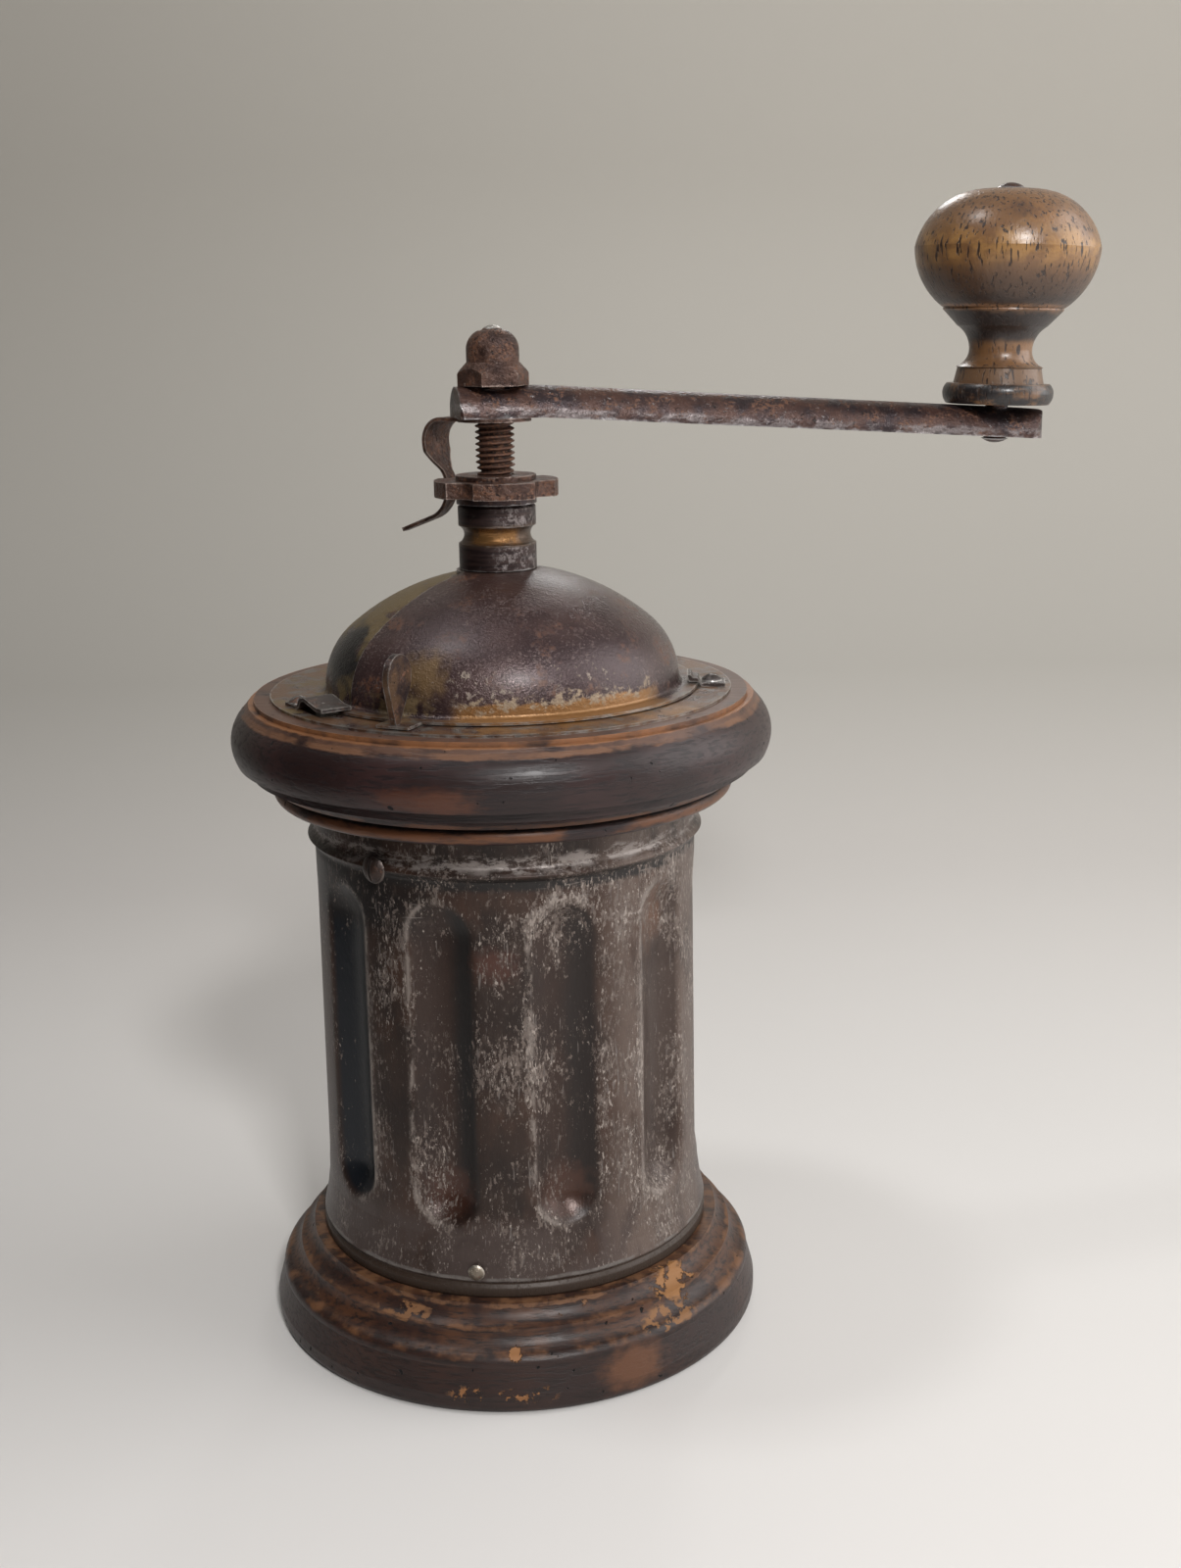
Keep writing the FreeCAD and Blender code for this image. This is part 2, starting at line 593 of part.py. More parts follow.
def placed(shape, angle, distance=0, height=0, tilt=0):
    """A copy of a shape, tilted about Y, moved out and up, then turned about the axis."""
    copy = shape.copy()
    copy.rotate(FreeCAD.Vector(0, 0, 0), FreeCAD.Vector(0, 1, 0), tilt)
    copy.translate(FreeCAD.Vector(size(distance).value, 0, size(height).value))
    copy.rotate(FreeCAD.Vector(0, 0, 0), UP, size(angle).value)
    return copy


def ring_of(shape, count, angle, distance, height, tilt):
    """Copies of a shape, evenly round the axis from an angle."""
    number = int(size(count).value)
    return [placed(shape, angle + 360 / number * turn, distance, height, tilt)
            for turn in range(number)]


def group(name, shapes):
    """One sub-part that holds several equal solids."""
    feature = doc.addObject("Part::Feature", name)
    feature.Shape = Part.makeCompound(shapes)
    return keep(feature, name)


def headed_pin(name, shank, length, head, dome, slot=0):
    """A screw, nail or rivet that stands on its head's seat and points down the Z axis."""
    body = new_body(name)
    sketch = new_sketch(body, f"{name}_profile", "XZ_Plane")
    outline(sketch, [(0, -length), (shank, -length), (shank, 0), (head, 0),
                     (0, dome, cap_sphere(head, dome))])
    turned(body, "Revolution", sketch)
    if slot:
        groove = new_sketch(body, f"{name}_slot", "XY_Plane", out=dome)
        outline(groove, rectangle(-head, -slot, head, slot))
        pushed(body, "Pocket", groove, dome * 0.5)
    doc.recompute()
    return body.Shape


# Turned wooden base: a foot, two coves and the spigot inside the column.
spigot_radius = S.shell_low_radius - S.sheet_metal - S.seat_gap
base = new_body("base_plinth")
profile = new_sketch(base, "base_profile", "XZ_Plane")
outline(profile, [
    (0, 0),
    (S.base_radius - S.base_foot_round, 0),
    (S.base_radius, S.base_foot_round, S.base_foot_round),
    (S.base_radius, S.base_belt_height),
    (S.base_shoulder_radius, S.base_shoulder_height),
    (S.base_edge_radius, S.base_edge_height, S.base_edge_round),
    (S.base_step_radius, S.base_step_height, -S.base_cove),
    (S.base_top_radius, S.base_top_height, -S.base_cove),
    (spigot_radius, S.base_top_height),
    (spigot_radius, S.base_spigot_height),
    (0, S.base_spigot_height),
])
turned(base, "Revolution", profile)
radial_holes(base, "base_nail_hole", S.nail_angle, S.nail_height,
             spigot_radius - S.nail_length, spigot_radius + 1, S.nail_shank, S.nail_count)
keep(base, "base_plinth")


shell_bead_height = S.cornice_bottom - S.shell_bead_drop
shell_screw_height = S.cornice_bottom - S.shell_screw_drop


def shell_radius_at(height):
    """The column's outer radius above its flare, which tapers to the top."""
    span = S.cornice_bottom - S.shell_flare_top
    return (S.shell_low_radius
            - (S.shell_low_radius - S.shell_top_radius) * (height - S.shell_flare_top) / span)


def column_form(name, inset):
    """The column as a full solid, smaller all round by the inset, with its flutes."""
    body = new_body(name)
    plain = S.flute_middle + S.flute_pitch * S.flute_count / 2
    sketch = new_sketch(body, f"{name}_profile", "XZ_Plane", turn=plain)
    bead_low = shell_bead_height - S.shell_bead_half
    bead_high = shell_bead_height + S.shell_bead_half
    radius_low = shell_radius_at(bead_low)
    radius_high = shell_radius_at(bead_high)
    rise = S.shell_bead_radius - shell_radius_at(shell_bead_height)
    bead_round = (S.shell_bead_half * S.shell_bead_half + rise * rise) / (2 * rise)
    foot = S.base_top_height + S.shell_flare_rise
    groove = S.base_top_height + (S.shell_hem_height + S.shell_flare_rise) / 2
    outline(sketch, [
        (0, S.base_top_height),
        (S.shell_hem_radius - inset, S.base_top_height),
        (S.shell_hem_radius - inset, S.base_top_height + S.shell_hem_height),
        (S.shell_groove_radius - inset, groove),
        (S.shell_flare_radius - inset, foot),
        (S.shell_low_radius - inset, S.shell_flare_top),
        (radius_low - inset, bead_low),
        (radius_high - inset, bead_high, bead_round),
        (shell_radius_at(S.cornice_bottom) - inset, S.cornice_bottom),
        (0, S.cornice_bottom),
    ])
    turned(body, "Revolution", sketch)
    # A flute is the dent of an upright capsule whose chord is the flute's width.
    middle = (S.flute_bottom + S.flute_top) / 2
    radius = shell_radius_at(middle)
    chord = root(radius * radius - S.flute_half_width * S.flute_half_width)
    sag = S.flute_depth - (radius - chord)
    capsule = (S.flute_half_width * S.flute_half_width + sag * sag) / (2 * sag)
    distance = radius - S.flute_depth + capsule
    capsule = capsule + inset
    low = S.flute_bottom + S.flute_half_width
    high = S.flute_top - S.flute_half_width
    first = S.flute_middle - (S.flute_count - 1) * S.flute_pitch / 2
    dent = new_sketch(body, f"{name}_flute", "XZ_Plane", turn=first)
    outline(dent, [
        (distance, low - capsule),
        (distance, high + capsule),
        (distance - capsule, high, capsule),
        (distance - capsule, low),
        (distance, low - capsule, capsule),
    ][1:])
    upright_axis(dent, distance)
    flute = turned(body, "Groove", dent, axis="Axis0")
    repeated(body, flute, S.flute_count, (S.flute_count - 1) * S.flute_pitch)
    return body


# Sheet column: the space between two fluted forms, with nail and screw holes, the folded
# seam and the drawer's opening at the back.
outer_form = column_form("column_outer_form", size(0))
seam_bottom = S.front_top + S.seat_gap
seam = new_sketch(outer_form, "seam_profile", "XY_Plane", out=seam_bottom)
seam_out = S.shell_low_radius + S.seam_rise
outline(seam, rectangle(-S.seam_width / 2, S.shell_low_radius - 3,
                        S.seam_width / 2, seam_out))
pushed(outer_form, "Pad", seam, shell_bead_height - S.shell_bead_half - seam_bottom)
radial_holes(outer_form, "shell_nail_hole", S.nail_angle, S.nail_height,
             S.shell_low_radius - 5, S.shell_low_radius + 5, S.nail_shank, S.nail_count)
radial_holes(outer_form, "shell_screw_hole", S.shell_screw_angle, shell_screw_height,
             S.shell_low_radius - 5, S.shell_low_radius + 5, S.shell_screw_shank,
             S.shell_screw_count)
opening = new_sketch(outer_form, "drawer_opening", "XY_Plane", out=S.window_bottom)
outline(opening, rectangle(-S.window_half_width, 10, S.window_half_width, 60))
pushed(outer_form, "Pocket", opening, S.window_top - S.window_bottom, flip=True)
inner_form = column_form("column_inner_form", S.sheet_metal)
shell = combine("Cut", "column_shell", outer_form, inner_form)
keep(shell, "column_shell")

# Turned wooden cornice, bored for the beans, with a spigot inside the column's top.
cornice_spigot = S.shell_top_radius - S.sheet_metal - S.seat_gap
cornice = new_body("cornice_ring")
profile = new_sketch(cornice, "cornice_profile", "XZ_Plane")
outline(profile, [
    (S.cornice_bore, S.cornice_spigot_bottom),
    (cornice_spigot, S.cornice_spigot_bottom),
    (cornice_spigot, S.cornice_bottom),
    (S.cornice_bead_radius, S.cornice_bottom),
    (S.cornice_bead_radius, S.cornice_bead_top, S.cornice_bead_round),
    (S.cornice_cove_start, S.cornice_cove_bottom),
    (S.cornice_cove_end, S.cornice_cove_top, -S.cornice_cove_round),
    (S.cornice_cove_end, S.cornice_fillet_height),
    (S.cornice_low_radius, S.cornice_low_height),
    (S.cornice_side_radius, S.cornice_side_height),
    (S.cornice_upper_radius, S.cornice_upper_height, S.cornice_round),
    (S.cornice_ledge_radius, S.cornice_ledge_height),
    (S.cornice_face_radius, S.cornice_ledge_height),
    (S.cornice_face_radius, S.cornice_top),
    (S.cornice_bore, S.cornice_top),
])
turned(cornice, "Revolution", profile)
radial_holes(cornice, "cornice_side_hole", S.shell_screw_angle, shell_screw_height,
             cornice_spigot - S.shell_screw_length, cornice_spigot + 1,
             S.shell_screw_shank, S.shell_screw_count)
burr_hole_top = S.cornice_spigot_bottom + S.burr_screw_length - S.bowl_flange_height
upright_holes(cornice, "cornice_burr_hole", S.burr_screw_angle, S.burr_screw_radius,
              S.small_screw_shank, burr_hole_top,
              S.burr_screw_length - S.bowl_flange_height, S.burr_screw_count)
left_screw = (S.left_clip_angle, S.left_clip_radius)
right_screw = (S.right_clip_angle, S.clip_screw_radius)
for side, (angle, distance) in (("left", left_screw), ("right", right_screw)):
    upright_holes(cornice, f"cornice_{side}_hole", angle, distance, S.small_screw_shank,
                  S.cornice_top, S.clip_screw_length, 1)
keep(cornice, "cornice_ring")

# Pressed dome: a flange, a foot fillet, a shoulder arc, a crown arc and a flat land, the
# three arcs tangent to each other.
flange_top = S.cornice_top + S.sheet_metal
shoulder_height = flange_top + S.dome_foot_round
shoulder_centre = S.dome_radius - S.dome_shoulder_round
crown_radius = (shoulder_centre * shoulder_centre + S.dome_height * S.dome_height
                - S.dome_shoulder_round * S.dome_shoulder_round)
crown_radius = crown_radius / (2 * (S.dome_height - S.dome_shoulder_round))
crown_centre = shoulder_height + S.dome_height - crown_radius
lean_across = shoulder_centre / (crown_radius - S.dome_shoulder_round)
lean_up = (shoulder_height - crown_centre) / (crown_radius - S.dome_shoulder_round)


def land_height(offset):
    """Height of the flat land of a dome that lies outside the fixed one by the offset."""
    radius = crown_radius + offset
    return crown_centre + root(radius * radius - S.land_radius * S.land_radius)


def dome_section(sketch, hole, rim, inside, outside):
    """The section of a dome's sheet between two offsets from the fixed dome's outside."""
    steps = [(hole, land_height(outside)), (S.land_radius, land_height(outside))]
    steps += half_section(outside, 1, rim)
    steps += [(rim, flange_top + inside)]
    steps += list(half_section(inside, -1, rim))
    steps += [(hole, land_height(inside))]
    outline(sketch, steps)


def half_section(offset, way, rim):
    """The corners of a dome's surface, outward and down (way 1) or back (way -1)."""
    crown = crown_radius + offset
    shoulder = S.dome_shoulder_round + offset
    foot = S.dome_foot_round - offset
    meeting = (lean_across * crown, crown_centre + lean_up * crown)
    side = (S.dome_radius + offset, shoulder_height)
    fillet_end = (S.dome_radius + S.dome_foot_round, flange_top + offset)
    if way > 0:
        return [
            (meeting[0], meeting[1], -crown),
            (side[0], side[1], -shoulder),
            (fillet_end[0], fillet_end[1], foot),
            (rim, flange_top + offset),
        ]
    return [
        fillet_end,
        (side[0], side[1], -foot),
        (meeting[0], meeting[1], shoulder),
        (S.land_radius, land_height(offset), crown),
    ]


dome = new_body("hopper_dome")
profile = new_sketch(dome, "dome_profile", "XZ_Plane")
dome_section(profile, S.collar_shank + S.slip, S.flange_radius, -S.sheet_metal, size(0))
turned(dome, "Revolution", profile)
window = new_sketch(dome, "filling_window", "YZ_Plane")
outline(window, rectangle(-S.dome_radius - 5, S.filling_bottom, -S.collar_shank - 4,
                          S.filling_top))
turned(dome, "Groove", window, angle=S.filling_angle, middle=True)
for side, (angle, distance) in (("left", left_screw), ("right", right_screw)):
    upright_holes(dome, f"flange_{side}_hole", angle, distance,
                  S.small_screw_shank + S.slip, flange_top + 1, S.sheet_metal + 2, 1)
keep(dome, "hopper_dome")

# Turning cover: a sector of a larger dome with a ring round the collar's shank, a narrow
# foot that runs under the clips, and a lug that carries the tab.
cover_inside = S.cover_gap
cover_outside = S.cover_gap + S.cover_sheet
cover = new_body("dome_cover")
bind(cover, "Placement.Rotation.Angle", S.cover_middle)
profile = new_sketch(cover, "cover_profile", "XZ_Plane")
ring_hole = S.collar_shank + S.seat_gap
dome_section(profile, ring_hole, S.cover_foot_radius, cover_inside, cover_outside)
turned(cover, "Revolution", profile, angle=S.cover_angle, middle=True)
ring = new_sketch(cover, "cover_ring", "XZ_Plane")
outline(ring, rectangle(ring_hole, land_height(cover_inside),
                        S.land_radius, land_height(cover_outside)))
turned(cover, "Revolution", ring)
lug = new_sketch(cover, "cover_lug", "XY_Plane", out=flange_top + cover_inside,
                 turn=S.tab_angle - S.cover_middle, axis=(0, 0, 1))
outline(lug, rectangle(S.dome_radius + S.dome_foot_round + 1, -S.lug_half_width,
                       S.lug_radius, S.lug_half_width))
pushed(cover, "Pad", lug, S.cover_sheet)
cover.Placement = FreeCAD.Placement(FreeCAD.Vector(0, 0, 0),
                                    FreeCAD.Rotation(UP, S.cover_middle.value))
bind(cover, "Placement.Rotation.Angle", S.cover_middle)
keep(cover, "dome_cover")



def touching_point(foot, middle, radius, way):
    """Where a line from a point (foot, 0) touches a circle, on its right (1) or left (-1)."""
    across = foot - middle[0]
    reach = across * across + middle[1] * middle[1]
    length = root(reach - radius * radius)
    share = radius / reach
    return (middle[0] + share * (radius * across + way * length * middle[1]),
            middle[1] - share * (radius * middle[1] - way * length * across))


# Upright leaf that turns the cover: a narrow foot and a round head that leans to the dome.
tab = new_body("cover_tab")
leaf = new_sketch(tab, "tab_outline", "XZ_Plane")
head = (-S.tab_lean, S.tab_head_height)
outer_side = touching_point(S.tab_stem, head, S.tab_head, 1)
inner_side = touching_point(-S.tab_stem, head, S.tab_head, -1)
outline(leaf, [
    (-S.tab_stem, 0),
    (S.tab_stem, 0),
    outer_side,
    (-S.tab_lean, S.tab_head_height + S.tab_head, S.tab_head),
    (inner_side[0], inner_side[1], S.tab_head),
])
pushed(tab, "Pad", leaf, S.tab_sheet, middle=True)
tab.Placement = FreeCAD.Placement(
    FreeCAD.Vector(1, 1, 1), FreeCAD.Rotation(UP, S.tab_angle.value))
bind(tab, "Placement.Base.x", S.tab_radius * cosine(S.tab_angle))
bind(tab, "Placement.Base.y", S.tab_radius * sine(S.tab_angle))
bind(tab, "Placement.Base.z", flange_top + cover_outside)
bind(tab, "Placement.Rotation.Angle", S.tab_angle)
keep(tab, "cover_tab")

# Right clip: it points at the axis, steps over the cover's foot and curls up at its end.
clip_low = flange_top + cover_outside + S.clip_lift
clip = new_body("right_clip")
strip = new_sketch(clip, "right_clip_section", "XZ_Plane")
outline(strip, [
    (S.clip_outer, flange_top),
    (S.clip_outer, flange_top + S.clip_sheet),
    (S.clip_foot, flange_top + S.clip_sheet),
    (S.clip_foot - S.clip_sheet, clip_low + S.clip_sheet),
    (S.clip_inner + S.clip_sheet * 1.6, clip_low + S.clip_sheet),
    (S.clip_inner + S.clip_sheet, clip_low + S.clip_curl),
    (S.clip_inner, clip_low + S.clip_curl),
    (S.clip_inner + S.clip_sheet * 0.5, clip_low),
    (S.clip_foot - S.clip_sheet * 0.6, clip_low),
    (S.clip_foot, flange_top),
])
pushed(clip, "Pad", strip, S.right_clip_width, middle=True)
upright_holes(clip, "right_clip_hole", 0, S.clip_screw_radius, S.small_screw_shank + S.slip,
              clip_low + S.clip_curl, S.clip_curl + 3, 1)
clip.Placement = FreeCAD.Placement(FreeCAD.Vector(0, 0, 0),
                                   FreeCAD.Rotation(UP, S.right_clip_angle.value))
bind(clip, "Placement.Rotation.Angle", S.right_clip_angle)
keep(clip, "right_clip")

# Left clip: a bent strip laid askew. It rises from its foot to a crest, falls gently and
# ends just over the cover's foot. The foot is trimmed to the path of the cover.
left_low = flange_top + cover_outside + S.left_clip_lift
strip_mid = flange_top + S.clip_sheet / 2
end_mid = left_low + S.clip_sheet / 2
rise_sine = sine(S.left_clip_rise)
rise_cosine = cosine(S.left_clip_rise)
fall_sine = sine(S.left_clip_fall)
fall_cosine = cosine(S.left_clip_fall)
flank_across = S.left_clip_step + S.left_clip_bend * rise_sine
flank_height = strip_mid + S.left_clip_bend * (1 - rise_cosine)
fall_across = flank_across + S.left_clip_crest * (rise_sine + fall_sine)
fall_height = flank_height + S.left_clip_crest * (fall_cosine - rise_cosine)
last_height = end_mid + S.left_clip_crest * (1 - fall_cosine)
last_across = fall_across + (fall_height - last_height) * fall_cosine / fall_sine
left_form = new_body("left_clip_form")
path = new_sketch(left_form, "left_clip_path", "XZ_Plane")
outline(path, [
    (-S.left_clip_back, strip_mid),
    (S.left_clip_step, strip_mid),
    (flank_across, flank_height, S.left_clip_bend),
    (fall_across, fall_height, -S.left_clip_crest),
    (last_across, last_height),
    (last_across + S.left_clip_crest * fall_sine, end_mid, S.left_clip_crest),
    (S.left_clip_reach, end_mid),
], closed=False)
section = new_sketch(left_form, "left_clip_section", "YZ_Plane", out=-S.left_clip_back)
half_strip = S.left_clip_width / 2
outline(section, rectangle(S.left_clip_shift - half_strip, flange_top,
                           S.left_clip_shift + half_strip, flange_top + S.clip_sheet))
sweep = left_form.newObject("PartDesign::AdditivePipe", "left_clip_sweep")
sweep.Profile = section
sweep.Spine = (path, [f"Edge{edge}" for edge in range(1, 7)])
left_form.Tip = sweep
upright_holes(left_form, "left_clip_hole", 0, 0, S.small_screw_shank + S.slip,
              left_low + 2, 6, 1)
left_form.Placement = FreeCAD.Placement(
    FreeCAD.Vector(1, 1, 0), FreeCAD.Rotation(UP, S.left_clip_turn.value))
bind(left_form, "Placement.Base.x", S.left_clip_radius * cosine(S.left_clip_angle))
bind(left_form, "Placement.Base.y", S.left_clip_radius * sine(S.left_clip_angle))
bind(left_form, "Placement.Rotation.Angle", S.left_clip_turn)
dome_trim = doc.addObject("Part::Cylinder", "left_clip_dome_trim")
bind(dome_trim, "Radius", S.dome_radius + cover_outside + S.dome_clearance)
bind(dome_trim, "Height", S.dome_height)
foot_trim = doc.addObject("Part::Cylinder", "left_clip_foot_trim")
bind(foot_trim, "Radius", S.cover_foot_radius + S.cover_gap)
bind(foot_trim, "Height", S.clip_sheet + cover_outside + S.clip_lift)
for trim, trim_bottom in ((dome_trim, flange_top), (foot_trim, flange_top - S.clip_sheet)):
    trim.Placement.Base = FreeCAD.Vector(0, 0, trim_bottom.value)
    bind(trim, "Placement.Base.z", trim_bottom)
trimmed = combine("Cut", "left_clip_trimmed", left_form, dome_trim)
keep(combine("Cut", "left_clip", trimmed, foot_trim), "left_clip")

slot_half = S.sheet_metal / 2
clip_screw = headed_pin("clip_screw_form", S.small_screw_shank, S.clip_screw_length,
                        S.clip_screw_head, S.screw_dome, slot_half)
clip_seat = flange_top + S.clip_sheet
group("clip_screws", [
    placed(clip_screw, left_screw[0], left_screw[1], clip_seat),
    placed(clip_screw, right_screw[0], right_screw[1], clip_seat),
])

# Collar: its shank passes the cover's ring and the dome and is riveted over inside.
collar_bottom = land_height(cover_outside) + S.seat_gap
collar_top = collar_bottom + S.collar_height
lip_top = land_height(-S.sheet_metal) - S.slip
groove_low = collar_bottom + S.collar_groove_bottom
groove_high = groove_low + S.collar_groove_height
groove_reach = S.collar_radius - S.collar_groove_depth
half_groove = S.collar_groove_height / 2
cove = (half_groove * half_groove + S.collar_groove_depth * S.collar_groove_depth)
cove = cove / (2 * S.collar_groove_depth)
collar = new_body("neck_collar")
profile = new_sketch(collar, "collar_profile", "XZ_Plane")
outline(profile, [
    (S.spindle_radius + S.slip, lip_top - S.collar_lip_height),
    (S.collar_lip, lip_top - S.collar_lip_height),
    (S.collar_lip, lip_top),
    (S.collar_shank, lip_top),
    (S.collar_shank, collar_bottom),
    (S.collar_radius, collar_bottom),
    (S.collar_radius, groove_low),
    (groove_reach, groove_low + half_groove, -S.collar_groove_round),
    (S.collar_radius, groove_high, -S.collar_groove_round),
    (S.collar_radius, collar_top - S.sheet_metal),
    (S.collar_radius - S.sheet_metal, collar_top),
    (S.spindle_radius + S.slip, collar_top),
])
turned(collar, "Revolution", profile)
keep(collar, "neck_collar")

# Thrust washer that turns with the crank on the collar.
washer_bottom = collar_top + S.slip
washer_top = washer_bottom + S.washer_height
washer = new_body("thrust_washer")
profile = new_sketch(washer, "washer_profile", "XZ_Plane")
outline(profile, rectangle(S.spindle_radius + S.slip, washer_bottom, S.washer_radius,
                           washer_top))
turned(washer, "Revolution", profile)
keep(washer, "thrust_washer")

# Star nut: four lobes, with round valleys between them for the spring's tongue.
nut_bottom = washer_top + S.slip
nut_top = nut_bottom + S.nut_height
nut = new_body("adjusting_nut")
profile = new_sketch(nut, "nut_disc", "XY_Plane", out=nut_bottom)
circle(profile, 0, 0, S.nut_radius)
pushed(nut, "Pad", profile, S.nut_height)
notch = new_sketch(nut, "nut_notch", "XY_Plane", out=nut_top, turn=S.nut_notch_angle,
                   axis=(0, 0, 1))
circle(notch, S.nut_radius - S.nut_notch_depth + S.nut_notch_round, 0, S.nut_notch_round)
cut_notch = pushed(nut, "Pocket", notch, S.nut_height)
repeated(nut, cut_notch, S.nut_notches)
hub = new_sketch(nut, "nut_hub", "XY_Plane", out=nut_top)
circle(hub, 0, 0, S.nut_hub_radius)
pushed(nut, "Pad", hub, S.nut_hub_height)
bore = new_sketch(nut, "nut_bore", "XY_Plane", out=nut_top + S.nut_hub_height)
circle(bore, 0, 0, S.spindle_radius + S.slip)
pushed(nut, "Pocket", bore, S.nut_height + S.nut_hub_height)
keep(nut, "adjusting_nut")

# Spindle: journal, shaft, the square that drives the crank and the tip in the cap nut.
arm_top = S.arm_bottom + S.arm_half_width
square_bottom = S.arm_bottom - S.spring_sheet
spindle = new_body("spindle")
profile = new_sketch(spindle, "spindle_profile", "XZ_Plane")
outline(profile, [
    (0, S.journal_bottom),
    (S.journal_radius, S.journal_bottom),
    (S.journal_radius, S.journal_top),
    (S.spindle_radius, S.journal_top),
    (S.spindle_radius, square_bottom),
    (0, square_bottom),
])
turned(spindle, "Revolution", profile)
square = new_sketch(spindle, "spindle_square", "XY_Plane", out=square_bottom,
                    turn=S.arm_angle, axis=(0, 0, 1))
outline(square, rectangle(-S.square_half, -S.square_half, S.square_half, S.square_half))
pushed(spindle, "Pad", square, arm_top - square_bottom)
tip = new_sketch(spindle, "spindle_tip", "XZ_Plane")
tip_rise = S.tip_radius / 3
outline(tip, [
    (0, arm_top),
    (S.tip_radius, arm_top),
    (S.tip_radius, S.tip_top - tip_rise),
    (0, S.tip_top, cap_sphere(S.tip_radius, tip_rise)),
])
turned(spindle, "Revolution", tip)
pin_height = S.burr_bottom + S.drive_pin_radius + S.slip
cross = new_sketch(spindle, "spindle_cross_hole", "XZ_Plane")
circle(cross, 0, pin_height, S.drive_pin_radius)
pushed(spindle, "Pocket", cross, S.spindle_radius * 4, middle=True)
keep(spindle, "spindle")


# Leaf spring: an eye clamped under the crank, a bow, and a tongue that rests in a valley of
# the star nut and curls outward below it. Drawn along +X, then turned to that valley.
spring_mid = square_bottom + S.spring_sheet / 2
lean_sine = sine(S.spring_lean)
lean_cosine = cosine(S.spring_lean)
bow_low = spring_mid - S.spring_bow_round
leaf_across = S.spring_bow - S.spring_lean_round * (1 - lean_cosine)
leaf_high = bow_low - S.spring_lean_round * lean_sine
entry_across = S.spring_notch + S.spring_entry_round * (1 - lean_cosine)
entry_height = leaf_high - (leaf_across - entry_across) * lean_cosine / lean_sine
tongue_height = entry_height - S.spring_entry_round * lean_sine
curl_across = S.spring_notch + S.spring_curl_round * (1 - cosine(S.spring_curl))
curl_height = tongue_height - S.spring_curl_round * sine(S.spring_curl)
tip_height = curl_height - (S.spring_tip - curl_across) * (
    cosine(S.spring_curl) / sine(S.spring_curl))
leaf_start = S.spring_eye - S.spring_sheet * 3
leaf = new_body("spring_leaf_form")
path = new_sketch(leaf, "spring_path", "XZ_Plane")
outline(path, [
    (leaf_start, spring_mid),
    (S.spring_bow - S.spring_bow_round, spring_mid),
    (S.spring_bow, bow_low, -S.spring_bow_round),
    (leaf_across, leaf_high, -S.spring_lean_round),
    (entry_across, entry_height),
    (S.spring_notch, tongue_height, S.spring_entry_round),
    (curl_across, curl_height, S.spring_curl_round),
    (S.spring_tip, tip_height),
], closed=False)
section = new_sketch(leaf, "spring_section", "YZ_Plane", out=leaf_start)
outline(section, rectangle(-S.spring_width / 2, square_bottom, S.spring_width / 2,
                           S.arm_bottom))
sweep = leaf.newObject("PartDesign::AdditivePipe", "spring_sweep")
sweep.Profile = section
sweep.Spine = (path, [f"Edge{edge}" for edge in range(1, 8)])
leaf.Tip = sweep
taper = new_body("spring_taper")
front = new_sketch(taper, "spring_outline", "YZ_Plane")
tongue_top = nut_top + S.spring_sheet * 2
shoulder = bow_low - S.spring_sheet * 3
wide = S.spring_width / 2
narrow = S.spring_tongue / 2
point = S.spring_point / 2
outline(front, [
    (-wide - 1, S.arm_bottom + 1),
    (-wide - 1, shoulder),
    (-wide, shoulder),
    (-narrow, tongue_top),
    (-narrow, curl_height + S.spring_curl_round / 2),
    (-point, tip_height - 1),
    (point, tip_height - 1),
    (narrow, curl_height + S.spring_curl_round / 2),
    (narrow, tongue_top),
    (wide, shoulder),
    (wide + 1, shoulder),
    (wide + 1, S.arm_bottom + 1),
])
pushed(taper, "Pad", front, S.spring_tip + 5)
ribbon = combine("Common", "spring_ribbon", leaf, taper)
eye = new_body("spring_eye_form")
disc = new_sketch(eye, "spring_eye_circle", "XY_Plane", out=square_bottom)
circle(disc, 0, 0, S.spring_eye)
pushed(eye, "Pad", disc, S.spring_sheet)
hole = new_sketch(eye, "spring_eye_hole", "XY_Plane", out=S.arm_bottom,
                  turn=S.arm_angle - S.nut_notch_angle, axis=(0, 0, 1))
hole_half = S.square_half + S.slip
outline(hole, rectangle(-hole_half, -hole_half, hole_half, hole_half))
pushed(eye, "Pocket", hole, S.spring_sheet)
spring = combine("Fuse", "detent_spring", eye, ribbon)
spring.Placement = FreeCAD.Placement(FreeCAD.Vector(0, 0, 0),
                                     FreeCAD.Rotation(UP, S.nut_notch_angle.value))
bind(spring, "Placement.Rotation.Angle", S.nut_notch_angle)
keep(spring, "detent_spring")

# Crank: a half-round bar, level at the hub and then sloping down, with a rounded end.
arm_form = new_body("crank_arm_form")
arm_end = S.arm_reach + S.arm_past
over = S.arm_half_width / 4
arm_sine = sine(S.arm_slope)
arm_cosine = cosine(S.arm_slope)
bend_radius = S.arm_bend_run * (1 + arm_cosine) / arm_sine
path = new_sketch(arm_form, "arm_path", "XZ_Plane")
outline(path, [
    (-S.arm_back, S.arm_bottom),
    (S.arm_bend - S.arm_bend_run, S.arm_bottom),
    (S.arm_bend + S.arm_bend_run * arm_cosine, S.arm_bottom - S.arm_bend_run * arm_sine,
     -bend_radius),
    (arm_end + over, S.arm_bottom - (arm_end + over - S.arm_bend) * arm_sine / arm_cosine),
], closed=False)
section = new_sketch(arm_form, "arm_section", "YZ_Plane", up=S.arm_bottom, out=-S.arm_back)
